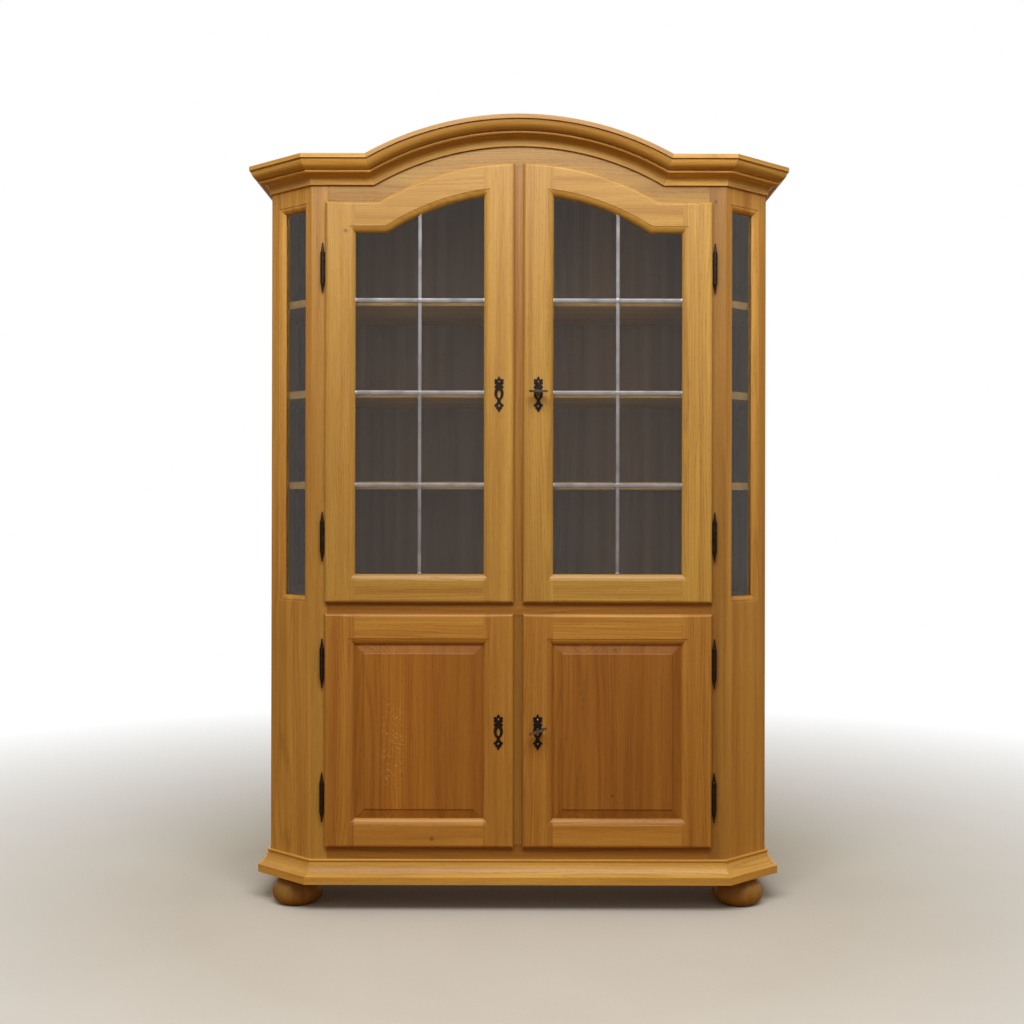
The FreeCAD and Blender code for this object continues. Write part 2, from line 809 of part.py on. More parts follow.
def arched_rail():
    """Top rail of the face frame: arched over the doors below, and behind the cornice above."""
    top_radius = f"({CORNICE_RADIUS} + cornice_height)"
    spring_x = f"sqrt(opening_arch_radius ^ 2 - ({UPPER_TOP} - {ARCH_CENTRE}) ^ 2)"
    top_x = f"sqrt({top_radius} ^ 2 - ({FLAT_TOP} - {ARCH_CENTRE}) ^ 2)"
    outline = [
        (f"0 - {OPENING_HALF}", UPPER_TOP),
        (f"0 - {spring_x}", UPPER_TOP),
        (spring_x, UPPER_TOP, "0 - opening_arch_radius"),
        (OPENING_HALF, UPPER_TOP),
        (OPENING_HALF, FLAT_TOP),
        (top_x, FLAT_TOP),
        (f"0 - {top_x}", FLAT_TOP, top_radius),
        (f"0 - {OPENING_HALF}", FLAT_TOP),
    ]
    return prism("arched_rail", "XZ", FRONT, "board_thickness", outline)


def centre_post():
    """Post between the doors, in two lengths, with mortises for the bolts and ball catches."""
    across = ("0 - post_width / 2", "post_width / 2")
    depth = (FRONT, FRAME_BACK)
    crown = f"{ARCH_CENTRE} + sqrt(opening_arch_radius ^ 2 - (post_width / 2) ^ 2)"
    lower = box("post_lower_blank", across, depth, (LOWER_FLOOR, LOWER_TOP))
    upper = box("post_upper_blank", across, depth, (UPPER_FLOOR, crown))
    mortises = []
    for door in ("lower", "upper"):
        mortises += [bolt_mortise(door), catch_hole(door)]
    blanks = group("post_blanks", [lower, upper])
    return cut("centre_post", blanks, group("post_mortises", mortises))


def bolt_mortise(door):
    """Mortise in the post's right side that a door's bolt slides into."""
    middle, deep = f"({lock_level(door)} + bolt_rise)", f"({DOOR_BACK} + case_depth / 2)"
    half, half_thick = "(bolt_height / 2 + bolt_play)", "(bolt_thickness / 2 + bolt_play)"
    across = ("post_width / 2 - bolt_throw", "post_width / 2 + overrun")
    depth = (f"{deep} - {half_thick}", f"{deep} + {half_thick}")
    return box(f"bolt_mortise_{door}", across, depth, (f"{middle} - {half}", f"{middle} + {half}"))


def catch_place(door):
    """Depth and height of a left door's ball catch."""
    return f"{LIP_BACK} + rebate_thickness / 2", f"{lock_level(door)} + catch_rise"


def catch_hole(door):
    """Hole in the post's left side for a ball catch."""
    start = ("0 - post_width / 2 + catch_length + drill_play", *catch_place(door))
    length = "catch_length + overrun"
    return rod(f"catch_hole_{door}", "catch_radius + drill_play", length, start, (-1, 0, 0))


def build_catches():
    """Ball catches let into the left side of the post."""
    curve = "catch_ball_radius"
    belly = f"sqrt({curve} ^ 2 - ({curve} - catch_ball_reach) ^ 2)"
    barrel = turned("ball_catch", [
        ("0", "0 - catch_length"),
        ("catch_radius", "0 - catch_length"),
        ("catch_radius", "0"),
        (belly, "0"),
        ("0", "catch_ball_reach", curve),
    ])
    barrel.Placement.Rotation = FreeCAD.Rotation(FreeCAD.Vector(0, 0, 1), FreeCAD.Vector(-1, 0, 0))
    places = [("0 - post_width / 2", *catch_place(door)) for door in ("lower", "upper")]
    piece(repeated("ball_catches", barrel, places))


def build_feet():
    """Four turned bun feet and the blocks that carry them."""
    shoulder = "(foot_height - foot_neck_height)"
    swell, rise = "(foot_radius - foot_base_radius)", "foot_belly_height"
    lower_curve = f"({swell} ^ 2 + {rise} ^ 2) / (2 * {swell})"
    swell, rise = "(foot_radius - foot_neck_radius)", f"({shoulder} - foot_belly_height)"
    upper_curve = f"({swell} ^ 2 + {rise} ^ 2) / (2 * {swell})"
    foot = turned("bun_foot", [
        ("0", "0"),
        ("foot_base_radius", "0"),
        ("foot_radius", "foot_belly_height", lower_curve),
        ("foot_neck_radius", shoulder, upper_curve),
        ("foot_neck_radius", "foot_height"),
        ("0", "foot_height"),
    ])
    across = f"{BODY_HALF} - foot_side_inset"
    places = []
    for depth in (f"{FRONT} + foot_front_inset", f"{BACK} - foot_back_inset"):
        places += [(f"0 - ({across})", depth, "0"), (across, depth, "0")]
    piece(repeated("bun_feet", foot, places))
    inner_x = f"front_half_width - {FRONT_MITRE}"
    rear_y = f"{CANT_BACK} + {SIDE_MITRE} + block_margin"
    outline = [
        (f"{inner_x} - block_margin", FRAME_BACK),
        (inner_x, FRAME_BACK),
        (INNER_HALF, f"{CANT_BACK} + {SIDE_MITRE}"),
        (INNER_HALF, rear_y),
        (f"{inner_x} - block_margin", rear_y),
    ]
    height = "bottom_rail_height - board_thickness"
    front_block = prism("front_block", "XY", "foot_height", height, outline)
    rear_across = (f"{INNER_HALF} - rear_block_size", INNER_HALF)
    rear_depth = (f"{BACK_INNER} - rear_block_size", BACK_INNER)
    rear_block = box("rear_block", rear_across, rear_depth, ("foot_height", f"foot_height + {height}"))
    right = group("foot_blocks_right", [front_block, rear_block])
    piece(group("foot_blocks", [right, mirrored("foot_blocks_left", right)]))


# Doors


def door_span(door):
    """Bottom and flat top of a door."""
    if door == "lower":
        return f"({LOWER_FLOOR} - door_overlap)", f"({LOWER_TOP} + door_overlap)"
    return f"({UPPER_FLOOR} - door_overlap)", f"({UPPER_TOP} + door_overlap)"


def door_outline(door, inset):
    """Outline of a right-hand door in the XZ plane, drawn in by an inset."""
    bottom, top = door_span(door)
    low_x, high_x = f"({DOOR_INNER} + {inset})", f"({DOOR_OUTER} - {inset})"
    low_z, high_z = f"({bottom} + {inset})", f"({top} - {inset})"
    corners = [(low_x, low_z), (high_x, low_z), (high_x, high_z)]
    if door == "lower":
        return corners + [(low_x, high_z)]
    radius = f"(opening_arch_radius + door_overlap - {inset})"
    spring_x = f"sqrt({radius} ^ 2 - ({high_z} - {ARCH_CENTRE}) ^ 2)"
    inner_z = f"{ARCH_CENTRE} + sqrt({radius} ^ 2 - {low_x} ^ 2)"
    return corners + [(spring_x, high_z), (low_x, inner_z, radius)]


def door_blank(door):
    """A whole door before it is divided: a lip with a rounded front edge, and the rebated part."""
    body = prism(f"{door}_door_blank", "XZ", DOOR_FACE, "lip_thickness", door_outline(door, "0"))
    lip = body.Tip
    doc.recompute()
    face = worth(DOOR_FACE)
    names = []
    for number, edge in enumerate(body.Shape.Edges, start=1):
        if all(abs(vertex.Y - face) < worth("groove_play") for vertex in edge.Vertexes):
            names.append(f"Edge{number}")
    rounding = body.newObject("PartDesign::Fillet", f"{door}_door_rounding")
    rounding.Base = (lip, names)
    rounding.setExpression("Radius", bound("lip_rounding"))
    body.Tip = rounding
    doc.recompute()
    pad_on(body, "XZ", LIP_BACK, "rebate_thickness", door_outline(door, REBATE_INSET))
    return body


def door_opening(door):
    """The sight opening of a right-hand door."""
    bottom, top = door_span(door)
    across = (f"{DOOR_INNER} + stile_width", f"{DOOR_OUTER} - stile_width")
    up = (f"{bottom} + door_bottom_rail_width", f"{top} - door_top_rail_width")
    radius = "opening_arch_radius + door_overlap - door_top_rail_width" if door == "upper" else None
    return Opening(across, up, radius)


def keyhole(door):
    """Hole through the stile for the key's stem and bit."""
    level = lock_level(door)
    start = (KEY_X, f"{DOOR_FACE} - overrun", level)
    length = f"{DOOR_BACK} - ({DOOR_FACE}) + 2 * overrun"
    barrel = rod(f"{door}_key_bore", "keyhole_radius", length, start, (0, 1, 0))
    half = "(bit_thickness / 2 + bit_play)"
    slot = box(f"{door}_key_slot", (f"{KEY_X} - {half}", f"{KEY_X} + {half}"),
               (f"{DOOR_FACE} - overrun", f"{DOOR_BACK} + overrun"),
               (f"{level} - bit_reach - bit_play", level))
    return fused(f"{door}_keyhole", [barrel, slot])


def build_door_frame(door):
    """Stiles and rails of a pair of doors; only the right-hand one has a keyhole."""
    bottom, top = door_span(door)
    blank = door_blank(door)
    groove = "pane_thickness" if door == "upper" else "panel_tongue"
    tool = opening_cutter(f"{door}_opening_cutter", door_opening(door), DOOR_FACE, DOOR_BACK,
                          worth(f"{groove} + groove_play"))
    depth = (f"{DOOR_FACE} - overrun", f"{DOOR_BACK} + overrun")
    below, middle, above = f"{bottom} - overrun", f"({bottom} + {top}) / 2", f"{top} + arch_rise + overrun"
    inner = (f"{DOOR_INNER} - overrun", f"{DOOR_INNER} + stile_width")
    outer = (f"{DOOR_OUTER} - stile_width", f"{DOOR_OUTER} + overrun")
    between = (inner[1], outer[0])
    zones = {
        "inner_stile": (inner, (below, above)),
        "outer_stile": (outer, (below, above)),
        "bottom_rail": (between, (below, middle)),
        "top_rail": (between, (middle, above)),
    }
    members = {}
    for name, (across, up) in zones.items():
        zone = box(f"{door}_{name}_zone", across, depth, up)
        members[name] = cut(f"{door}_{name}", common(f"{door}_{name}_blank", blank, zone), tool)
    holes = []
    for index, level in enumerate(hinge_levels()[door]):
        start = (f"{DOOR_OUTER} + overrun", HINGE_Y, f"{level} + knuckle_length / 2")
        length = "shank_length - barrel_radius - barrel_gap + drill_play + overrun"
        hole = rod(f"{door}_shank_hole_{index}", "shank_radius + drill_play", length, start,
                   (-1, 0, 0))
        holes.append(hole)
    hung = cut(f"{door}_hung_stile", members["outer_stile"], group(f"{door}_shank_holes", holes))
    locked = cut(f"{door}_lock_stile", members["inner_stile"], keyhole(door))
    plain = group(f"{door}_plain_stiles", [members["inner_stile"], hung])
    piece(group(f"{door}_right_door_stiles", [locked, hung]))
    piece(mirrored(f"{door}_left_door_stiles", plain))
    rails = piece(group(f"{door}_right_door_rails", [members["bottom_rail"], members["top_rail"]]))
    piece(mirrored(f"{door}_left_door_rails", rails))


def build_glazing():
    """Panes of the upper doors, and the lead strips on both faces of each."""
    opening = door_opening("upper")
    front = worth(GROOVE_FRONT) + worth("groove_play") / 2
    back = front + worth("pane_thickness")
    reach = worth("groove_depth")
    pane = piece(solid_of("upper_right_door_pane", opening.layers([(reach, front), (reach, back)])))
    piece(mirrored("upper_left_door_pane", pane))
    strip_y = front - worth("came_thickness")
    outer = lead_grid(opening, strip_y, strip_y - worth("rosette_height"))
    inner = lead_grid(opening, back, back)
    lattice = piece(solid_of("upper_right_door_lead_lattice", Part.makeCompound([outer, inner])))
    piece(mirrored("upper_left_door_lead_lattice", lattice))


def lead_grid(opening, strip_y, disc_y):
    """Lead strips on one side of a pane, with a prouder solder disc over each crossing."""
    thick, width, radius = worth("came_thickness"), worth("came_width"), worth("rosette_radius")
    middle = (opening.low_x + opening.high_x) / 2
    tall = opening.high_z + worth("arch_rise") - opening.low_z
    corner = FreeCAD.Vector(middle - width / 2, strip_y, opening.low_z)
    members = [Part.makeBox(width, thick, tall, corner)]
    for level in shelf_levels():
        height = worth(level)
        corner = FreeCAD.Vector(opening.low_x, strip_y, height - width / 2)
        members.append(Part.makeBox(opening.high_x - opening.low_x, thick, width, corner))
        centre = FreeCAD.Vector(middle, disc_y, height)
        deep = thick + worth("rosette_height")
        members.append(Part.makeCylinder(radius, deep, centre, FreeCAD.Vector(0, 1, 0)))
    grid = members[0].fuse(members[1:]).removeSplitter()
    inset, margin = -worth("groove_play"), worth("overrun")
    sight = opening.layers([(inset, strip_y - margin), (inset, strip_y + margin)])
    return grid.common(sight)


def build_panels():
    """Raised panels of the lower doors: tongue, bevel, step and field."""
    opening = door_opening("lower")
    front = worth(GROOVE_FRONT) + worth("groove_play") / 2
    reach, play, bevel = worth("groove_depth"), worth("groove_play"), worth("panel_bevel")
    crest = front - worth("panel_bevel_rise")
    steps = [
        (reach, front + worth("panel_tongue")),
        (reach, front),
        (-play, front - worth("step_draft")),
        (-bevel, crest),
        (-bevel, crest - worth("panel_step")),
    ]
    panel = piece(solid_of("lower_right_door_panel", opening.layers(steps)))
    piece(mirrored("lower_left_door_panel", panel))


# Hinges


# Tapered end of a hinge barrel, from its shoulder to its tip: radius and place along it, as shares
# of the barrel's radius and the end's length
FINIAL_SHARES = [
    (1, 0.03),
    (0.72, 0.1),
    (0.3, 0.8),
    (0.42, 0.88),
    (0, 1),
]


def finial(sign, start):
    """Outline of a barrel's tapered end."""
    return [
        (f"barrel_radius * {wide}", f"{sign} * ({start} + finial_length * {along})")
        for wide, along in FINIAL_SHARES
    ]


def frame_leaf():
    """Lower half of a hinge, with the pin, and the shank that screws into the corner stile."""
    gap = "knuckle_gap / 2"
    outline = [
        ("barrel_radius", f"0 - {gap}"),
        *finial("(0 - 1)", "knuckle_length"),
        ("0", "hinge_pin_length"),
        ("hinge_pin_radius", "hinge_pin_length"),
        ("hinge_pin_radius", f"0 - {gap}"),
    ]
    barrel = turned("frame_leaf_barrel", outline)
    start = ("0", "0", "0 - knuckle_length / 2")
    shank = rod("frame_leaf_shank", "shank_radius", "shank_length", start, (0, 1, 0))
    return fused("frame_leaf", [barrel, shank])


def door_leaf():
    """Upper half of a hinge, bored for the pin, and the shank that screws into the door's edge."""
    gap = "knuckle_gap / 2"
    bore = "hinge_pin_radius + hinge_play"
    end = "hinge_pin_length + knuckle_gap"
    outline = [
        (bore, gap),
        ("barrel_radius", gap),
        *finial("1", "knuckle_length"),
        ("0", end),
        (bore, end),
    ]
    barrel = turned("door_leaf_barrel", outline)
    start = ("0 - shank_seat", "0", "knuckle_length / 2")
    shank = rod("door_leaf_shank", "shank_radius", "shank_length - shank_seat", start, (-1, 0, 0))
    return fused("door_leaf", [barrel, shank])


def build_hinges():
    """Two hinges to a door: halves on the frame share one sub-part, those on each door another."""
    frame_half, door_half = frame_leaf(), door_leaf()
    levels = hinge_levels()
    frame_places = [(HINGE_X, HINGE_Y, level) for door in levels for level in levels[door]]
    right = repeated("frame_hinge_leaves_right", frame_half, frame_places)
    piece(group("frame_hinge_leaves", [right, mirrored("frame_hinge_leaves_left", right)]))
    for door in levels:
        places = [(HINGE_X, HINGE_Y, level) for level in levels[door]]
        leaves = piece(repeated(f"{door}_right_door_hinge_leaves", door_half, places))
        piece(mirrored(f"{door}_left_door_hinge_leaves", leaves))


# Keyhole plates, locks and keys


# Keyhole plate, as shares of its half width (places across, radii) and half height (places up).
# Discs: place across and up, and radius; all but the middle ones come in pairs
PLATE_DISC_SHARES = [
    (0, 0.69, 0.56),
    (0.69, 0.76, 0.31),
    (0.67, 0.61, 0.31),
    (0.72, 0.4, 0.28),
    (0, -0.64, 0.5),
    (0.69, -0.61, 0.31),
    (0.4, -0.75, 0.26),
    (0.4, -0.5, 0.22),
]
# Ovals: half width, half height and place up
PLATE_RING_SHARES = (1, 0.37, 0.05)
PLATE_HOLE_SHARES = (0.36, 0.205, 0)
# Necks: half width, and place up of both ends
PLATE_NECK_SHARES = [(0.66, 0.3, 0.6), (0.36, -0.55, -0.2)]
PLATE_FINIAL_SHARES = [(0, 0.72), (0.38, 0.8), (0.3, 0.88), (0, 1), (-0.3, 0.88), (-0.38, 0.8)]
PLATE_NAIL_SHARES = (0.685, -0.65)


def plate_oval(shares, margin):
    """Flat oval through a keyhole plate, thicker than it by a margin on each side."""
    half_width, half_height = worth("plate_width / 2"), worth("plate_height / 2")
    wide, tall, up = shares
    middle = FreeCAD.Vector(0, margin, up * half_height)
    curve = Part.Ellipse(middle + FreeCAD.Vector(0, 0, tall * half_height),
                         middle + FreeCAD.Vector(wide * half_width, 0, 0), middle)
    face = Part.Face(Part.Wire(curve.toShape()))
    return face.extrude(FreeCAD.Vector(0, -worth("plate_thickness") - 2 * margin, 0))


def plate_shape():
    """Keyhole plate about its own middle, its back on the XZ plane, with a nail at each end."""
    half_width, half_height = worth("plate_width / 2"), worth("plate_height / 2")
    thick = worth("plate_thickness")
    forward = FreeCAD.Vector(0, -thick, 0)
    solids = []
    for across, up, share in PLATE_DISC_SHARES:
        radius = share * half_width
        for side in ((1, -1) if across else (1,)):
            centre = FreeCAD.Vector(side * across * half_width, 0, up * half_height)
            solids.append(Part.makeCylinder(radius, thick, centre, FreeCAD.Vector(0, -1, 0)))
    for across, low, high in PLATE_NECK_SHARES:
        corner = FreeCAD.Vector(-across * half_width, -thick, low * half_height)
        length = (high - low) * half_height
        solids.append(Part.makeBox(2 * across * half_width, thick, length, corner))
    for sign in (1, -1):
        spots = [FreeCAD.Vector(x * half_width, 0, sign * z * half_height)
                 for x, z in PLATE_FINIAL_SHARES]
        solids.append(Part.Face(Part.makePolygon(spots + spots[:1])).extrude(forward))
    outline = plate_oval(PLATE_RING_SHARES, 0).fuse(solids).removeSplitter()
    plate = outline.cut(plate_oval(PLATE_HOLE_SHARES, worth("overrun")))
    nails = [nail_head(share * half_height, thick) for share in PLATE_NAIL_SHARES]
    return Part.makeCompound([plate, *nails])


def nail_head(up, thick):
    """Domed head of the nail at one end of a keyhole plate, at a height from its middle."""
    radius, height = worth("nail_radius"), worth("nail_height")
    curve = (radius ** 2 + height ** 2) / (2 * height)
    middle = FreeCAD.Vector(0, curve - height - thick, up)
    ball = Part.makeSphere(curve, middle)
    back = middle - FreeCAD.Vector(0, curve - height, 0)
    return ball.common(Part.makeCylinder(curve, height, back, FreeCAD.Vector(0, -1, 0)))


def build_plates():
    """A keyhole plate on every door."""
    plate = solid_of("keyhole_plate", plate_shape())
    for door in ("lower", "upper"):
        place = (KEY_X, DOOR_FACE, f"{lock_level(door)} - plate_drop")
        right = piece(repeated(f"{door}_right_door_keyhole_plate", plate, [place]))
        piece(mirrored(f"{door}_left_door_keyhole_plate", right))


def build_lock(door):
    """Lock case behind a right-hand door's stile, and its sliding bolt."""
    level = lock_level(door)
    left = f"({DOOR_INNER} + {REBATE_INSET} + case_margin)"
    right = f"({left} + case_width)"
    back = f"({DOOR_BACK} + case_depth)"
    low, high = f"({level} - case_height / 2)", f"({level} + case_height / 2)"
    shell = box(f"{door}_case_shell", (left, right), (DOOR_BACK, back), (low, high))
    wall = "case_wall"
    hollow = box(f"{door}_case_hollow", (f"{left} + {wall}", f"{right} - {wall}"),
                 (f"{DOOR_BACK} + {wall}", f"{back} - {wall}"), (f"{low} + {wall}", f"{high} - {wall}"))
    middle, deep = f"({level} + bolt_rise)", f"({DOOR_BACK} + case_depth / 2)"
    half, half_thick = "(bolt_height / 2)", "(bolt_thickness / 2)"
    slot = box(f"{door}_bolt_slot", (f"{left} - overrun", f"{left} + overrun"),
               (f"{deep} - {half_thick} - bolt_play", f"{deep} + {half_thick} + bolt_play"),
               (f"{middle} - {half} - bolt_play", f"{middle} + {half} + bolt_play"))
    stem_hole = rod(f"{door}_stem_hole", "stem_radius + stem_play", "case_depth + 2 * overrun",
                    (KEY_X, f"{DOOR_BACK} - overrun", level), (0, 1, 0))
    half_bit = "(bit_thickness / 2 + bit_play)"
    keyway = box(f"{door}_keyway", (f"{KEY_X} - {half_bit}", f"{KEY_X} + {half_bit}"),
                 (f"{DOOR_BACK} - overrun", f"{DOOR_BACK} + {wall}"),
                 (f"{level} - bit_reach - bit_play", level))
    tool = fused(f"{door}_case_cutter", [hollow, slot, stem_hole, keyway])
    piece(cut(f"{door}_lock_case", shell, tool))
    start_x = f"({left} - case_margin / 2)"
    piece(box(f"{door}_lock_bolt", (start_x, f"{start_x} + bolt_length"),
              (f"{deep} - {half_thick}", f"{deep} + {half_thick}"),
              (f"{middle} - {half}", f"{middle} + {half}")))


def build_key(door, tilt):
    """Key about its own axis along Y, its bow lying flat, with y = 0 at the door's face."""
    centre_y = "0 - stem_reach - bow_length / 2 + bow_thickness / 2"
    ovals = []
    for name, end_inset, side_inset, thick in (
        ("rim", "0", "0", "bow_thickness"),
        ("eye", "bow_rim", "bow_side_rim", "bow_thickness + 2 * overrun"),
    ):
        oval = doc.addObject("Part::Ellipse", f"{door}_bow_{name}_outline")
        oval.setExpression("MajorRadius", bound(f"bow_width / 2 - {end_inset}"))
        oval.setExpression("MinorRadius", bound(f"bow_length / 2 - {side_inset}"))
        set_place(oval, "0", centre_y, f"0 - ({thick}) / 2")
        slab = doc.addObject("Part::Extrusion", f"{door}_bow_{name}")
        slab.Base = oval
        slab.Dir = FreeCAD.Vector(0, 0, 1)
        slab.Solid = True
        slab.setExpression("LengthFwd", bound(thick))
        ovals.append(slab)
    bow = cut(f"{door}_bow", ovals[0], ovals[1])
    tip = f"({DOOR_BACK} - ({DOOR_FACE}) + case_depth)"
    stem = rod(f"{door}_stem", "stem_radius", f"{tip} + stem_reach", ("0", "0 - stem_reach", "0"),
               (0, 1, 0))
    collar = rod(f"{door}_collar", "collar_radius", "collar_length",
                 ("0", "0 - plate_thickness - 2 * collar_length", "0"), (0, 1, 0))
    bit = box(f"{door}_bit", ("0", "bit_reach"),
              (f"{tip} - case_depth / 2 - bit_width / 2", f"{tip} - case_depth / 2 + bit_width / 2"),
              ("0 - bit_thickness / 2", "bit_thickness / 2"))
    key = fused(f"{door}_key", [bow, stem, collar, bit])
    key.Placement.Rotation = FreeCAD.Rotation(FreeCAD.Vector(0, -1, 0), tilt)
    set_place(key, KEY_X, DOOR_FACE, lock_level(door))
    piece(key)


def check_and_write():
    """Stop on anything that failed, then write one file for each sub-part."""
    doc.recompute()
    for thing in doc.Objects:
        if "Invalid" in thing.State or "Error" in thing.State:
            raise ValueError(f"{thing.Label}: {thing.State}")
    for thing in pieces:
        if thing.Shape.isNull() or not thing.Shape.isValid() or not thing.Shape.Solids:
            raise ValueError(f"{thing.Label}: no valid shape")
    os.makedirs("parts", exist_ok=True)
    for thing in pieces:
        thing.Shape.exportStep(f"parts/{thing.Label}.step")
    print(f"{len(pieces)} sub-parts written")


fill_sheet()
build_feet()
build_mouldings()
build_boards()
build_sides()
build_cants()
build_face_frame()
build_catches()
for kind in ("lower", "upper"):
    build_door_frame(kind)
build_glazing()
build_panels()
build_hinges()
build_plates()
for kind in ("lower", "upper"):
    build_lock(kind)
build_key("lower", worth("lower_key_tilt"))
build_key("upper", 0)
check_and_write()
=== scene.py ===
"""Visual model of an oak display cabinet with an arched cornice and canted corners."""

import logging
import math
import random
from dataclasses import dataclass
from enum import Enum

import bmesh
import bpy
import numpy as np
from bpy.types import Material, Mesh, Node, NodeSocket, NodeTree
from mathutils import Matrix, Vector


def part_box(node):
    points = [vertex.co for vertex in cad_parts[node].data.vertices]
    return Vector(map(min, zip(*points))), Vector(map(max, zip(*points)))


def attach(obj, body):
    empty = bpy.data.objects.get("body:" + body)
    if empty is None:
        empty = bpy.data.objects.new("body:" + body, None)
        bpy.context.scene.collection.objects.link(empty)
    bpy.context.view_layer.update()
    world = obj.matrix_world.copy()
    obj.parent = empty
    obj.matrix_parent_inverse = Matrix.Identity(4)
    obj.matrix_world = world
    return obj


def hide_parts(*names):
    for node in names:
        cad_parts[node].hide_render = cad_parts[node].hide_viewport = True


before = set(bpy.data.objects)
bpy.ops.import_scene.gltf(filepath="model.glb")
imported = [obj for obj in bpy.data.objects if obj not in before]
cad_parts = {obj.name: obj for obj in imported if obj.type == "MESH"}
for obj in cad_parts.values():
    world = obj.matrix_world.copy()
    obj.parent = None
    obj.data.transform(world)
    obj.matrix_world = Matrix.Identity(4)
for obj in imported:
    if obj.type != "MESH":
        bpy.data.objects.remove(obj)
LOG = logging.getLogger("display_cabinet")
# Corners of the solids nearer than this, in metres, are one
WELD = 2e-6
# Triangles within this many degrees are one flat face
FLAT_DEGREES = 0.4
# Edges sharper than this many degrees are rounded, where a piece doesn't say otherwise
CREASE_DEGREES = 32.0

Pair = tuple[float, float]
Triple = tuple[float, float, float]
Value = Node | NodeSocket | float | tuple[float, ...]

# Small helpers


def linear(code: str) -> tuple[float, float, float, float]:
    """Turns an sRGB hex colour to linear.

    Args:
        code: Colour such as "#C79A5A".

    Returns:
        Linear red, green, blue and an alpha of 1.
    """
    parts = [int(code[i : i + 2], 16) / 255 for i in (1, 3, 5)]
    shares = [p / 12.92 if p <= 0.04045 else ((p + 0.055) / 1.055) ** 2.4 for p in parts]
    return (*shares, 1.0)


def add(tree: NodeTree, kind: str, links: dict | list | None = None, **settings: object) -> Node:
    """Adds a node with its settings and links.

    Args:
        tree: The node tree.
        kind: The node's type name.
        links: Inputs in order, or by name or number. Each is a value, a socket, or a node whose
            first output is used.
        **settings: The node's own properties.

    Returns:
        The new node.
    """
    node = tree.nodes.new(kind)
    for name, value in settings.items():
        setattr(node, name, value)
    for key, value in links.items() if isinstance(links, dict) else enumerate(links or ()):
        if isinstance(key, str):
            socket = next(s for s in node.inputs if s.enabled and s.name == key)
        else:
            socket = node.inputs[key]
        if isinstance(value, Node):
            value = next(s for s in value.outputs if s.enabled)
        if isinstance(value, NodeSocket):
            tree.links.new(value, socket)
        else:
            socket.default_value = value
    return node


def shown(tree: NodeTree) -> Node:
    """Adds 1 for rays from the eye, also through glass, and 0 for light that bounces."""
    rays = add(tree, "ShaderNodeLightPath").outputs
    return add(
        tree, "ShaderNodeMath", [rays["Is Camera Ray"], rays["Is Transmission Ray"]],
        operation="MAXIMUM",
    )


def surfaced(tree: NodeTree, surface: dict[str, Value]) -> None:
    """Ends a material with a surface that has these inputs."""
    shader = add(tree, "ShaderNodeBsdfPrincipled", surface)
    add(tree, "ShaderNodeOutputMaterial", {"Surface": shader})


def per_metre(sizes: Triple) -> list[float]:
    """Turns sizes in millimetres to how many of each make a metre."""
    return [1000 / size for size in sizes]


def new_material(name: str) -> tuple[Material, NodeTree]:
    """Makes an empty node material.

    Args:
        name: The finish's name.

    Returns:
        The material and its tree.
    """
    material = bpy.data.materials.new(name)
    material.use_nodes = True
    material.node_tree.nodes.clear()
    return material, material.node_tree


# Finishes


@dataclass(frozen=True)
class Knot:
    """A knot in a board: its place in metres and its radius."""

    place: Triple
    radius: float


@dataclass(frozen=True)
class Patch:
    """A soft-edged oval place on a board."""

    centre: Triple
    reach: Triple
    # Share of the reach at which it starts to fade
    fade_from: float = 0.5

    def mask(self, tree: NodeTree) -> Node:
        """Builds the nodes that give 1 in the middle of the place and 0 outside it.

        Args:
            tree: The material's tree.

        Returns:
            The node with the result.
        """
        away = add(
            tree, "ShaderNodeVectorMath",
            [add(tree, "ShaderNodeTexCoord").outputs["Object"], self.centre], operation="SUBTRACT",
        )
        share = add(tree, "ShaderNodeVectorMath", [away, self.reach], operation="DIVIDE")
        far = add(tree, "ShaderNodeVectorMath", [share], operation="LENGTH").outputs["Value"]
        return add(tree, "ShaderNodeMapRange", [far, self.fade_from, 1.0, 1.0, 0.0])


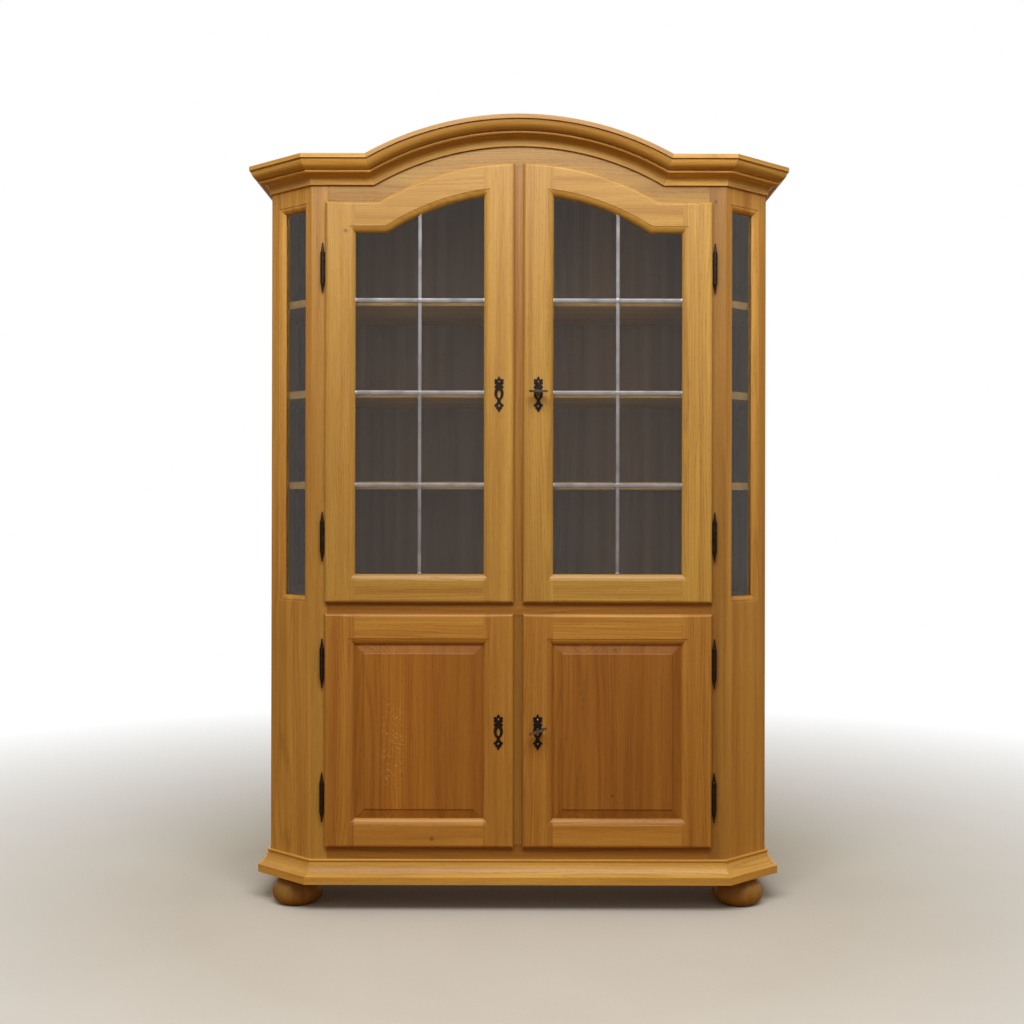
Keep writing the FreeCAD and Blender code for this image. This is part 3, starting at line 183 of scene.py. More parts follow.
@dataclass(frozen=True)
class LacqueredOak:
    """European oak, planed and sanded, under a satin lacquer.

    Rings show as darker porous lines, with fine open pores in them, paler ray flecks on some
    boards, and a soft sheen. Each board carries its own place in the log, tone and staves; its
    tone and warmth also hold painted light and shade.
    """

    name: str = "lacquered_oak"
    light: str = "#CBA048"
    dark: str = "#A06D26"
    pore: str = "#5E3912"
    # Multiplied in by each board's warmth; on the low pieces it is painted warm light from the
    # floor
    amber: str = "#F0C892"
    fleck: str = "#DDB56B"
    ring_mm: float = 3.2
    # How light one year's ring is, from its porous start to its end
    ring_stops: tuple[Pair, ...] = ((0.0, 0.42), (0.14, 0.1), (0.34, 0.7), (0.8, 1.0), (1.0, 0.42))
    # How far the pith wanders, in metres
    pith_sway: float = 0.036
    # Length of one bend of the pith and of one change in the rings' width, in millimetres along,
    # across and through the board
    pith_bend_mm: Triple = (1111.111, 166.667, 166.667)
    ring_change_mm: Triple = (1428.571, 33.333, 33.333)
    streak_mm: float = 26.0
    # Real fibres are finer; drawn at 1.8 mm, which is what still shows from 3.4 m
    fibre_mm: float = 1.8
    # Real pores are 0.3 mm wide; drawn at 0.8 mm for the same reason
    pore_mm: float = 0.8
    # Widths in the length of one streak, fibre and pore
    streak_length: float = 40.0
    fibre_length: float = 60.0
    pore_length: float = 22.0
    # How much rings and fibres count beside streaks, and their darkest and lightest sum
    ring_part: float = 0.13
    fibre_part: float = 0.55
    grain_band: Pair = (0.56, 1.2)
    # Ring lightness where pores begin and are thickest, and noise where one begins and opens
    porous_band: Pair = (0.7, 0.1)
    pore_band: Pair = (0.56, 0.64)
    # How strongly pores, knots' cores and glue lines take the pores' colour
    pore_share: float = 0.55
    core_share: float = 0.6
    glue_share: float = 0.35
    # How much the staves of one board differ in tone, and in metres how far apart they grew
    stave_share: float = 0.3
    stave_reach: Triple = (3.1, 0.22, 0.09)
    # Where a glue line begins and is full, in staves from the stave's middle
    glue_band: Pair = (0.494, 0.499)
    # Size of a fleck along, across and through, the noise that makes one, and their strength
    fleck_mm: Triple = (4.7619, 8.3333, 6.25)
    fleck_band: Pair = (0.58, 0.7)
    fleck_share: float = 0.8
    # How many of its radii a knot bends the rings, by how many rings, and how sharply
    knot_reach: float = 5.0
    knot_bend: float = 5.0
    knot_fall: float = 3.0
    # Edge of a knot's core, in its radii
    core_band: Pair = (1.1, 0.55)
    # The wood's roughness, and what fibres and pores add to it
    roughness: float = 0.46
    fibre_roughness: float = 0.16
    pore_roughness: float = 0.2
    # Strength of the relief of fibres and pores, and its depth in metres
    relief: float = 0.35
    pore_depth: float = 0.0003
    # Amount, roughness and refractive index of the lacquer
    coat: float = 0.16
    coat_roughness: float = 0.34
    refraction: float = 1.5
    knots: tuple[Knot, ...] = ()
    rayed: Patch | None = None

    def build(self) -> Material:
        """Builds the material."""
        material, tree = new_material(self.name)
        place = add(tree, "ShaderNodeAttribute", attribute_name="board_place").outputs["Vector"]
        look = add(tree, "ShaderNodeAttribute", attribute_name="board_look").outputs["Vector"]
        # Each board's tone and warmth, which also hold painted light and shade set per piece
        tone_and_light, warmth_and_warm_light, flecked = add(tree, "ShaderNodeSeparateXYZ", [look]).outputs
        shift, stave_tone, glue = self.add_staves(tree, place)
        ring, cores = self.add_rings(tree, shift)
        porous = add(tree, "ShaderNodeMapRange", [ring, *self.porous_band])

        # Streaks, fibres and pores, each long with the grain
        streak = self.add_field(tree, shift, self.streak_mm, self.streak_length, detail=4.0)
        fibre = self.add_field(tree, shift, self.fibre_mm, self.fibre_length, detail=3.0)
        pore = self.add_field(tree, shift, self.pore_mm, self.pore_length, detail=1.0)
        pores = add(
            tree, "ShaderNodeMath",
            [add(tree, "ShaderNodeMapRange", [pore, *self.pore_band]), porous],
            operation="MULTIPLY",
        )

        # Streaks count most in the grain, then fibres, then rings
        marks = add(
            tree, "ShaderNodeMath",
            [streak, add(tree, "ShaderNodeMath", [ring, self.ring_part], operation="MULTIPLY")],
            operation="ADD",
        )
        marks = add(
            tree, "ShaderNodeMath", [fibre, self.fibre_part, marks], operation="MULTIPLY_ADD"
        )
        grain = add(tree, "ShaderNodeMapRange", [marks, *self.grain_band])
        colour = add(
            tree, "ShaderNodeMix",
            {"Factor": grain, "A": linear(self.dark), "B": linear(self.light)}, data_type="RGBA",
        )
        # Amber by warmth: partly the wood's own warmth, partly painted warm light on the low pieces
        colour = add(
            tree, "ShaderNodeMix", {"Factor": warmth_and_warm_light, "A": colour, "B": linear(self.amber)},
            data_type="RGBA", blend_type="MULTIPLY",
        )
        pore_share = add(tree, "ShaderNodeMath", [pores, self.pore_share], operation="MULTIPLY")
        colour = add(
            tree, "ShaderNodeMix", {"Factor": pore_share, "A": colour, "B": linear(self.pore)},
            data_type="RGBA",
        )
        colour = add(
            tree, "ShaderNodeMix",
            {"Factor": self.add_flecks(tree, shift, flecked), "A": colour, "B": linear(self.fleck)},
            data_type="RGBA",
        )
        for mask, share in ((cores, self.core_share), (glue, self.glue_share)):
            if mask is not None:
                amount = add(tree, "ShaderNodeMath", [mask, share], operation="MULTIPLY")
                colour = add(
                    tree, "ShaderNodeMix", {"Factor": amount, "A": colour, "B": linear(self.pore)},
                    data_type="RGBA",
                )
        # The tone scales the colour: painted shade on some pieces and painted light on others
        level = add(
            tree, "ShaderNodeMath", [stave_tone, self.stave_share, tone_and_light], operation="MULTIPLY_ADD"
        )
        toned = add(tree, "ShaderNodeVectorMath", {0: colour, "Scale": level}, operation="SCALE")

        # Fibres and open pores scatter the shine and stand a little proud or sunk
        smoothest = self.roughness - self.fibre_roughness / 2
        rough = add(
            tree, "ShaderNodeMath", [fibre, self.fibre_roughness, smoothest],
            operation="MULTIPLY_ADD",
        )
        rough = add(
            tree, "ShaderNodeMath", [pores, self.pore_roughness, rough], operation="MULTIPLY_ADD"
        )
        height = add(tree, "ShaderNodeMath", [fibre, pores], operation="SUBTRACT")
        surface = {
            "Base Color": toned, "Roughness": rough,
            "Normal": add(
                tree, "ShaderNodeBump",
                {"Strength": self.relief, "Distance": self.pore_depth, "Height": height},
            ),
            "IOR": self.refraction, "Coat Weight": self.coat, "Coat Roughness": self.coat_roughness,
            "Coat IOR": self.refraction,
        }
        surfaced(tree, surface)
        return material

    def add_staves(self, tree: NodeTree, place: Value) -> tuple[Value, Value, Value]:
        """Splits a glued board into staves, each with its own place in a log and its own tone.

        Args:
            tree: The material's tree.
            place: The point's place in the board's own log.

        Returns:
            The point's place in its stave's log, the stave's tone, and the mask of the glue lines.
        """
        staves = add(tree, "ShaderNodeAttribute", attribute_name="board_staves").outputs["Fac"]
        across = add(tree, "ShaderNodeSeparateXYZ", [place]).outputs[1]
        counted = add(tree, "ShaderNodeMath", [across, staves], operation="MULTIPLY")
        stave = add(tree, "ShaderNodeMath", [counted], operation="FLOOR")
        value, colour = add(
            tree, "ShaderNodeTexWhiteNoise", {"W": stave}, noise_dimensions="1D"
        ).outputs
        is_glued = add(tree, "ShaderNodeMath", [staves, 1.0], operation="MINIMUM")
        shift = add(
            tree, "ShaderNodeVectorMath", [colour, self.stave_reach, place],
            operation="MULTIPLY_ADD",
        )
        centred = add(tree, "ShaderNodeMath", [value, 0.5], operation="SUBTRACT")
        stave_tone = add(tree, "ShaderNodeMath", [centred, is_glued], operation="MULTIPLY")
        part = add(tree, "ShaderNodeMath", [counted], operation="FRACT")
        edge = add(
            tree, "ShaderNodeMath",
            [add(tree, "ShaderNodeMath", [part, 0.5], operation="SUBTRACT")], operation="ABSOLUTE",
        )
        glue = add(
            tree, "ShaderNodeMath",
            [add(tree, "ShaderNodeMapRange", [edge, *self.glue_band]), is_glued],
            operation="MULTIPLY",
        )
        return shift, stave_tone, glue

    def add_rings(self, tree: NodeTree, shift: Value) -> tuple[Node, Node | None]:
        """Draws the year rings about a pith that wanders along the board.

        Args:
            tree: The material's tree.
            shift: The point's place in its stave's log.

        Returns:
            How light the ring is at the point, and the mask of the knots' cores or None.
        """
        bends = per_metre(self.pith_bend_mm)
        slow = add(tree, "ShaderNodeVectorMath", [shift, bends], operation="MULTIPLY")
        bend = add(tree, "ShaderNodeTexNoise", {"Vector": slow, "Scale": 1.0, "Detail": 2.5})
        bend = bend.outputs["Color"]
        reach = (0.0, self.pith_sway, self.pith_sway)
        sway = add(tree, "ShaderNodeVectorMath", [bend, reach, shift], operation="MULTIPLY_ADD")
        flat = add(tree, "ShaderNodeVectorMath", [sway, (0.0, 1.0, 1.0)], operation="MULTIPLY")
        radius = add(tree, "ShaderNodeVectorMath", [flat], operation="LENGTH").outputs["Value"]
        changes = per_metre(self.ring_change_mm)
        uneven = add(tree, "ShaderNodeVectorMath", [shift, changes], operation="MULTIPLY")
        width = add(tree, "ShaderNodeTexNoise", {"Vector": uneven, "Scale": 1.0, "Detail": 2.0})
        rings = add(
            tree, "ShaderNodeMath", [radius, 1000 / self.ring_mm, width], operation="MULTIPLY_ADD"
        )
        rings, cores = self.add_knots(tree, rings)
        part = add(tree, "ShaderNodeMath", [rings], operation="FRACT")
        ring = add(tree, "ShaderNodeValToRGB", [part])
        stops = ring.color_ramp.elements
        while len(stops) < len(self.ring_stops):
            stops.new(0.5)
        for stop, (position, value) in zip(stops, self.ring_stops):
            stop.position = position
            stop.color = (value, value, value, 1.0)
        return ring, cores

    def add_field(
        self, tree: NodeTree, shift: Value, width_mm: float, length: float, detail: float
    ) -> Node:
        """Draws marks of a width in millimetres and a length in widths, long with the grain."""
        scale = (1000 / (width_mm * length), 1000 / width_mm, 1000 / width_mm)
        marks = add(tree, "ShaderNodeVectorMath", [shift, scale], operation="MULTIPLY")
        return add(tree, "ShaderNodeTexNoise", {"Vector": marks, "Scale": 1.0, "Detail": detail})

    def add_flecks(self, tree: NodeTree, shift: Value, flecked: Value) -> Node:
        """Draws ray flecks, short ribbons across the grain.

        Args:
            tree: The material's tree.
            shift: The point's place in its stave's log.
            flecked: How strong the board's flecks are.

        Returns:
            How much of the fleck's colour shows.
        """
        sizes = per_metre(self.fleck_mm)
        ribbon = add(tree, "ShaderNodeVectorMath", [shift, sizes], operation="MULTIPLY")
        rays = add(tree, "ShaderNodeTexNoise", {"Vector": ribbon, "Scale": 1.0, "Detail": 2.0})
        ray = add(tree, "ShaderNodeMapRange", [rays, *self.fleck_band, 0.0, self.fleck_share])
        ray = add(tree, "ShaderNodeMath", [ray, flecked], operation="MULTIPLY")
        if self.rayed:
            ray = add(tree, "ShaderNodeMath", [ray, self.rayed.mask(tree)], operation="MULTIPLY")
        return ray

    def add_knots(self, tree: NodeTree, rings: Node) -> tuple[Node, Node | None]:
        """Bends the rings round each knot and marks its core.

        Args:
            tree: The material's tree.
            rings: Count of rings out from the pith.

        Returns:
            The bent count, and the mask of the cores or None without knots.
        """
        cores = None
        for knot in self.knots:
            away = add(
                tree, "ShaderNodeVectorMath",
                [add(tree, "ShaderNodeTexCoord").outputs["Object"], knot.place],
                operation="DISTANCE",
            )
            share = add(
                tree, "ShaderNodeMath", [away.outputs["Value"], 1 / knot.radius],
                operation="MULTIPLY",
            )
            swirl = add(
                tree, "ShaderNodeMath",
                [add(tree, "ShaderNodeMapRange", [share, self.knot_reach, 0.0]), self.knot_fall],
                operation="POWER",
            )
            rings = add(
                tree, "ShaderNodeMath", [swirl, self.knot_bend, rings], operation="MULTIPLY_ADD"
            )
            core = add(tree, "ShaderNodeMapRange", [share, *self.core_band])
            cores = (
                core
                if cores is None
                else add(tree, "ShaderNodeMath", [cores, core], operation="MAXIMUM")
            )
        return rings, cores


@dataclass(frozen=True)
class FloatGlass:
    """Soda-lime glass, 4 mm: clear with a faint grey cast, slightly uneven and a little smeared."""

    name: str = "float_glass"
    tint: str = "#EDF1EE"
    wave_mm: float = 90.0
    wave_depth_mm: float = 0.05
    relief: float = 0.4
    # Size of a smear, the noise that makes one, and its roughness
    smear_mm: float = 142.857
    smear_band: Pair = (0.45, 0.75)
    smear_roughness: float = 0.05
    refraction: float = 1.5

    def build(self) -> Material:
        """Builds the material."""
        material, tree = new_material(self.name)
        where = add(tree, "ShaderNodeTexCoord").outputs["Object"]
        wave = add(
            tree, "ShaderNodeTexNoise",
            {"Vector": where, "Scale": 1000 / self.wave_mm, "Detail": 1.0},
        )
        smear = add(
            tree,
            "ShaderNodeTexNoise",
            {"Vector": where, "Scale": 1000 / self.smear_mm, "Detail": 5.0},
        )
        surface = {
            "Base Color": linear(self.tint),
            "Roughness": add(
                tree, "ShaderNodeMapRange", [smear, *self.smear_band, 0.0, self.smear_roughness]
            ),
            "IOR": self.refraction, "Transmission Weight": 1.0,
            "Normal": add(
                tree, "ShaderNodeBump",
                {"Strength": self.relief, "Distance": self.wave_depth_mm / 1000, "Height": wave},
            ),
        }
        surfaced(tree, surface)
        return material


@dataclass(frozen=True)
class Metal:
    """A worked metal: two colours in patches, rough and smooth areas, and a dented surface."""

    name: str
    colour: str
    patina: str
    metallic: float
    roughness: float
    patch_mm: float = 8.0
    dent_mm: float = 3.0
    dent_depth_mm: float = 0.1
    stretch: Triple = (1.0, 1.0, 1.0)
    relief: float = 0.5
    # Noise where the patina begins and is full, and where the roughness is least and most
    patina_band: Pair = (0.38, 0.66)
    rough_band: Pair = (0.3, 0.7)
    smoother: float = 0.08
    rougher: float = 0.12

    def build(self) -> Material:
        """Builds the material."""
        material, tree = new_material(self.name)
        drawn = add(
            tree, "ShaderNodeMapping",
            {"Vector": add(tree, "ShaderNodeTexCoord").outputs["Object"], "Scale": self.stretch},
        )
        patches = add(
            tree, "ShaderNodeTexNoise",
            {"Vector": drawn, "Scale": 1000 / self.patch_mm, "Detail": 4.0},
        )
        share = add(tree, "ShaderNodeMapRange", [patches, *self.patina_band])
        limits = (self.roughness - self.smoother, self.roughness + self.rougher)
        dents = add(
            tree, "ShaderNodeTexNoise",
            {"Vector": drawn, "Scale": 1000 / self.dent_mm, "Detail": 2.0},
        )
        surface = {
            "Base Color": add(
                tree, "ShaderNodeMix",
                {"Factor": share, "A": linear(self.colour), "B": linear(self.patina)},
                data_type="RGBA",
            ),
            "Metallic": self.metallic,
            "Roughness": add(tree, "ShaderNodeMapRange", [patches, *self.rough_band, *limits]),
            "Normal": add(
                tree, "ShaderNodeBump",
                {"Strength": self.relief, "Distance": self.dent_depth_mm / 1000, "Height": dents},
            ),
        }
        surfaced(tree, surface)
        return material


class Finish(Enum):
    """Every finish on the cabinet, with the record's slot that it stands for."""

    OAK = ("oak", LacqueredOak())
    KNOTTY_OAK = (
        "oak",
        LacqueredOak(
            "knotty_lacquered_oak",
            knots=(
                Knot((0.523, -0.167, 1.884), 0.006),
                Knot((-0.459, -0.180, 1.803), 0.006),
                Knot((-0.228, -0.180, 0.194), 0.007),
                Knot((0.258, -0.172, 0.694), 0.005),
                Knot((0.250, -0.176, 0.307), 0.005),
            ),
        ),
    )
    # The same oak where the saw met the rays: pale flecks in one place
    RAYED_OAK = (
        "oak",
        LacqueredOak(
            "rayed_lacquered_oak", rayed=Patch((-0.335, -0.175, 0.44), (0.045, 0.1, 0.15))
        ),
    )
    # Oak veneer, stained grey-brown and sealed matt, with little sheen
    BACK_VENEER = (
        "back_veneer",
        LacqueredOak(
            "stained_oak_veneer",
            light="#9A704C",
            dark="#784E30",
            pore="#45301E",
            fleck="#A38463",
            roughness=0.55,
            coat=0.0,
        ),
    )
    GLASS = ("glass", FloatGlass())

    # Metals: colour, patina, metallic, roughness, patch_mm, dent_mm and dent_depth_mm

    # Lead came, drawn: soft and dull, with darker tarnish
    LEAD = (
        "lead_came",
        Metal("drawn_lead_came", "#9F9EA1", "#858487", 0.35, 0.5, 40.0, 12.0, 0.05),
    )
    # Solder, wiped while hot: brighter and smoother than the lead
    SOLDER = ("lead_came", Metal("wiped_solder", "#B5B3B4", "#8F8D8F", 0.5, 0.42, 5.0, 3.0, 0.06))
    # Wrought iron, blackened in the fire and waxed: hammer marks, browner in places
    IRON = ("black_iron", Metal("blackened_iron", "#2B2723", "#43362B", 0.75, 0.46, 9.0, 5.0, 0.35))
    # Steel key, tumbled: soft shine with darker patches
    KEY_STEEL = (
        "pewter_key",
        Metal("tumbled_steel", "#B9B2AB", "#7E7770", 1.0, 0.3, 4.0, 1.5, 0.06),
    )
    # Pressed steel, zinc-plated: pale grey with drawn lines
    ZINC = (
        "lock_steel",
        Metal("zinc_plated_steel", "#B4B5B1", "#94968F", 1.0, 0.36, 6.0, 0.8, 0.03, (1, 1, 0.1)),
    )
    # Brass, turned: fine tool marks under light tarnish
    BRASS = ("catch_brass", Metal("turned_brass", "#C2A057", "#92713A", 1.0, 0.28, 5.0, 0.7, 0.02))

    @property
    def slot(self) -> str:
        """The record's material slot."""
        return self.value[0]

    def material(self) -> Material:
        """The finish's material, built once."""
        recipe = self.value[1]
        return bpy.data.materials.get(recipe.name) or recipe.build()


# Meshes


class Grain(Enum):
    """Which way the grain of a board runs."""

    UP = "up"
    ACROSS = "across"
    LENGTHWISE = "lengthwise"
    AROUND = "around"


def finished(shape: bmesh.types.BMesh, name: str) -> Mesh:
    """Turns an edited shape into a mesh.

    Args:
        shape: The shape, which is used up.
        name: The mesh's name.

    Returns:
        The mesh.
    """
    mesh = bpy.data.meshes.new(name)
    shape.to_mesh(mesh)
    shape.free()
    return mesh


def joined_copy(node: str, merge_planes: bool = True) -> Mesh:
    """Copies a node's mesh, with its loose triangles joined.

    Args:
        node: The node's name.
        merge_planes: Whether triangles in one plane become one face.

    Returns:
        The copy.
    """
    shape = bmesh.new()
    shape.from_mesh(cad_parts[node].data)
    bmesh.ops.remove_doubles(shape, verts=shape.verts, dist=WELD)
    if merge_planes:
        bmesh.ops.dissolve_limit(
            shape, angle_limit=math.radians(FLAT_DEGREES), verts=shape.verts, edges=shape.edges
        )
    return finished(shape, node)


def islands(mesh: Mesh) -> np.ndarray:
    """Numbers the separate solids of a mesh.

    Args:
        mesh: The mesh.

    Returns:
        For each vertex, the number of its solid.
    """
    label = np.arange(len(mesh.vertices))
    pairs = np.empty(len(mesh.edges) * 2, int)
    mesh.edges.foreach_get("vertices", pairs)
    pairs = pairs.reshape(-1, 2)
    while True:
        low = np.minimum(label[pairs[:, 0]], label[pairs[:, 1]])
        before = label.copy()
        np.minimum.at(label, pairs[:, 0], low)
        np.minimum.at(label, pairs[:, 1], low)
        label = label[label]
        if (label == before).all():
            break
    return np.unique(label, return_inverse=True)[1]


def points_of(mesh: Mesh) -> np.ndarray:
    """The mesh's vertices as rows of an array."""
    flat = np.empty(len(mesh.vertices) * 3)
    mesh.vertices.foreach_get("co", flat)
    return flat.reshape(-1, 3)


def eased(mesh: Mesh, width: float, segments: int = 2, angle: float = CREASE_DEGREES) -> Mesh:
    """Rounds a mesh's sharp edges a little and evens its shading.

    Args:
        mesh: The mesh, which is used up.
        width: Width of the rounding in metres.
        segments: Faces across the rounding.
        angle: Edges sharper than this, in degrees, are rounded.

    Returns:
        The eased mesh.
    """
    mesh.shade_smooth()
    helper = bpy.data.objects.new("easing", mesh)
    bpy.context.scene.collection.objects.link(helper)
    bevel = helper.modifiers.new("arris", "BEVEL")
    bevel.width = width
    bevel.segments = segments
    bevel.limit_method = "ANGLE"
    bevel.angle_limit = math.radians(angle)
    bevel.use_clamp_overlap = True
    normals = helper.modifiers.new("shading", "WEIGHTED_NORMAL")
    normals.keep_sharp = True
    graph = bpy.context.evaluated_depsgraph_get()
    done = bpy.data.meshes.new_from_object(
        helper.evaluated_get(graph), preserve_all_data_layers=True, depsgraph=graph
    )
    bpy.data.objects.remove(helper)
    bpy.data.meshes.remove(mesh)
    return done


def settle(
    name: str, mesh: Mesh, body: str, finish: Finish, stands_for: tuple[str, ...] = ()
) -> None:
    """Makes a finished piece and lets it ride on its body.

    Args:
        name: The piece's name.
        mesh: Its mesh, in place.
        body: The body that it moves with.
        finish: Its finish, used where the mesh has no material yet.
        stands_for: Nodes that it replaces.
    """
    mesh.name = name
    if not mesh.materials:
        mesh.materials.append(finish.material())
    piece = bpy.data.objects.new(name, mesh)
    bpy.context.scene.collection.objects.link(piece)
    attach(piece, body)
    if stands_for:
        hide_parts(*stands_for)
    LOG.info("%s: %d faces on %s, %s", name, len(mesh.polygons), body, finish.name.lower())


@dataclass(frozen=True)
class Timber:
    """How a node's boards were sawn, toned and eased; some tones hold painted light and shade."""

    grain: Grain = Grain.UP
    # Tone and warmth hold the wood's own colour and, on some pieces, painted light and shade
    tone_and_light: float = 1.0
    warmth_and_warm_light: float = 0.2
    fleck: float = 0.0
    # Glued staves to a metre; none in a solid board
    staves: float = 0.0
    arris: float = 0.0009
    # How much the boards of one node differ in tone, and in warmth
    spread: float = 0.05
    warmth_spread: float = 0.1
    crease: float = CREASE_DEGREES
    # The arch that the grain of the cornice follows
    arch_centre: float = 1.267
    arch_radius: float = 0.763
    # Share of boards sawn near the pith, with arched grain; the others are straight-grained
    flat_sawn_share: float = 0.4
    # Metres from the board to its pith, across and through, of either kind
    flat_sawn_pith: tuple[Pair, Pair] = ((-0.03, 0.03), (0.05, 0.12))
    straight_pith: tuple[Pair, Pair] = ((0.1, 0.28), (0.05, 0.2))
    log_length: float = 40.0

    def axes(self, points: np.ndarray) -> np.ndarray:
        """Finds a board's own axes.

        Args:
            points: Its points.

        Returns:
            Rows: along the grain, across the face, through the thickness.
        """
        centred = points - points.mean(0)
        fixed = {Grain.UP: (0.0, 0.0, 1.0), Grain.ACROSS: (1.0, 0.0, 0.0)}
        if self.grain in fixed:
            along = np.array(fixed[self.grain])
        else:
            along = np.linalg.svd(centred, full_matrices=False)[2][0]
        rest = centred - np.outer(centred @ along, along)
        wide = np.linalg.svd(rest, full_matrices=False)[2][0]
        return np.array([along, wide, np.cross(along, wide)])

    def place(self, points: np.ndarray, chance: random.Random) -> np.ndarray:
        """Gives each point its place in the log.

        Args:
            points: A board's points.
            chance: The board's own random numbers.

        Returns:
            Rows: along the grain, across and through, from a pith of the board's own.
        """
        if self.grain is Grain.AROUND:
            up = points[:, 2] - self.arch_centre
            turn = np.arctan2(points[:, 0], up) * self.arch_radius
            local = np.stack([turn, np.hypot(points[:, 0], up) - self.arch_radius, points[:, 1]], 1)
        else:
            local = (points - points.mean(0)) @ self.axes(points).T
        if chance.random() < self.flat_sawn_share:
            side, (across, through) = 1, self.flat_sawn_pith
        else:
            side, (across, through) = chance.choice((-1, 1)), self.straight_pith
        pith = (side * chance.uniform(*across), chance.uniform(*through))
        return local + np.array([chance.uniform(0, self.log_length), *pith])

    def mark(self, mesh: Mesh, name: str) -> None:
        """Writes each board's place, look and staves to the mesh.

        Args:
            mesh: The mesh, whose separate solids are the boards.
            name: Seeds the boards' random numbers.
        """
        points = points_of(mesh)
        label = islands(mesh)
        place = np.zeros_like(points)
        look = np.zeros_like(points)
        for board in range(label.max() + 1):
            chance = random.Random(f"{name} {board}")
            picked = label == board
            place[picked] = self.place(points[picked], chance)
            tone_and_light = self.tone_and_light * (1 + chance.uniform(-self.spread, self.spread))
            warmth_and_warm_light = self.warmth_and_warm_light + chance.uniform(-self.warmth_spread, self.warmth_spread)
            look[picked] = (tone_and_light, warmth_and_warm_light, self.fleck)
        for attribute, values in (("board_place", place), ("board_look", look)):
            made = mesh.attributes.new(attribute, "FLOAT_VECTOR", "POINT")
            made.data.foreach_set("vector", values.astype(np.float32).ravel())
        staves = mesh.attributes.new("board_staves", "FLOAT", "POINT")
        staves.data.foreach_set("value", np.full(len(points), self.staves, np.float32))

    def dress(self, node: str, body: str = "case", finish: Finish = Finish.OAK) -> None:
        """Replaces a wooden node with finished boards.

        Args:
            node: The node's name.
            body: Its body.
            finish: The finish.
        """
        mesh = joined_copy(node, self.grain is not Grain.AROUND)
        mesh = eased(mesh, self.arris, angle=self.crease)
        self.mark(mesh, node)
        settle(f"{node}_boards", mesh, body, finish, (node,))


def dress_metal(node: str, body: str, finish: Finish, arris: float, segments: int = 2) -> None:
    """Replaces a metal node with a softened copy.

    Args:
        node: The node's name.
        body: Its body.
        finish: The finish.
        arris: Width of the rounding in metres.
        segments: Faces across the rounding.
    """
    mesh = eased(joined_copy(node), arris, segments)
    settle(f"{node}_metal", mesh, body, finish, (node,))


def repaint(node: str, finish: Finish) -> None:
    """Keeps a node's own shape and gives it a finish.

    Args:
        node: The node's name.
        finish: The finish.
    """
    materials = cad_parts[node].data.materials
    materials.clear()
    materials.append(finish.material())
    LOG.info("%s: kept, %s", node, finish.name.lower())


def skin(shape: bmesh.types.BMesh, rings: list[list[bmesh.types.BMVert]]) -> None:
    """Joins each closed ring of points to the next with faces.

    Args:
        shape: The shape that the points are in.
        rings: The rings, all with as many points; one of a single point is a tip.
    """
    for low, high in zip(rings, rings[1:]):
        for i in range(len(low)):
            j = (i + 1) % len(low)
            corners = [low[i], low[j], high[j % len(high)], high[i % len(high)]]
            shape.faces.new(list(dict.fromkeys(corners)))


def turned_shape(profile: list[Pair], steps: int) -> Mesh:
    """Turns a profile about the Y axis, its far end towards -Y.

    Args:
        profile: Points (radius, height), from the rim at the back to the middle.
        steps: Faces round.

    Returns:
        The mesh, closed at the back.
    """
    shape = bmesh.new()
    rings = []
    for radius, height in profile:
        if radius == 0:
            rings.append([shape.verts.new((0, -height, 0))])
            continue
        angles = [2 * math.pi * i / steps for i in range(steps)]
        spots = [(radius * math.cos(a), -height, radius * math.sin(a)) for a in angles]
        rings.append([shape.verts.new(spot) for spot in spots])
    skin(shape, rings)
    shape.faces.new(rings[0])
    bmesh.ops.recalc_face_normals(shape, faces=shape.faces)
    mesh = finished(shape, "turned")
    mesh.shade_smooth()
    return mesh


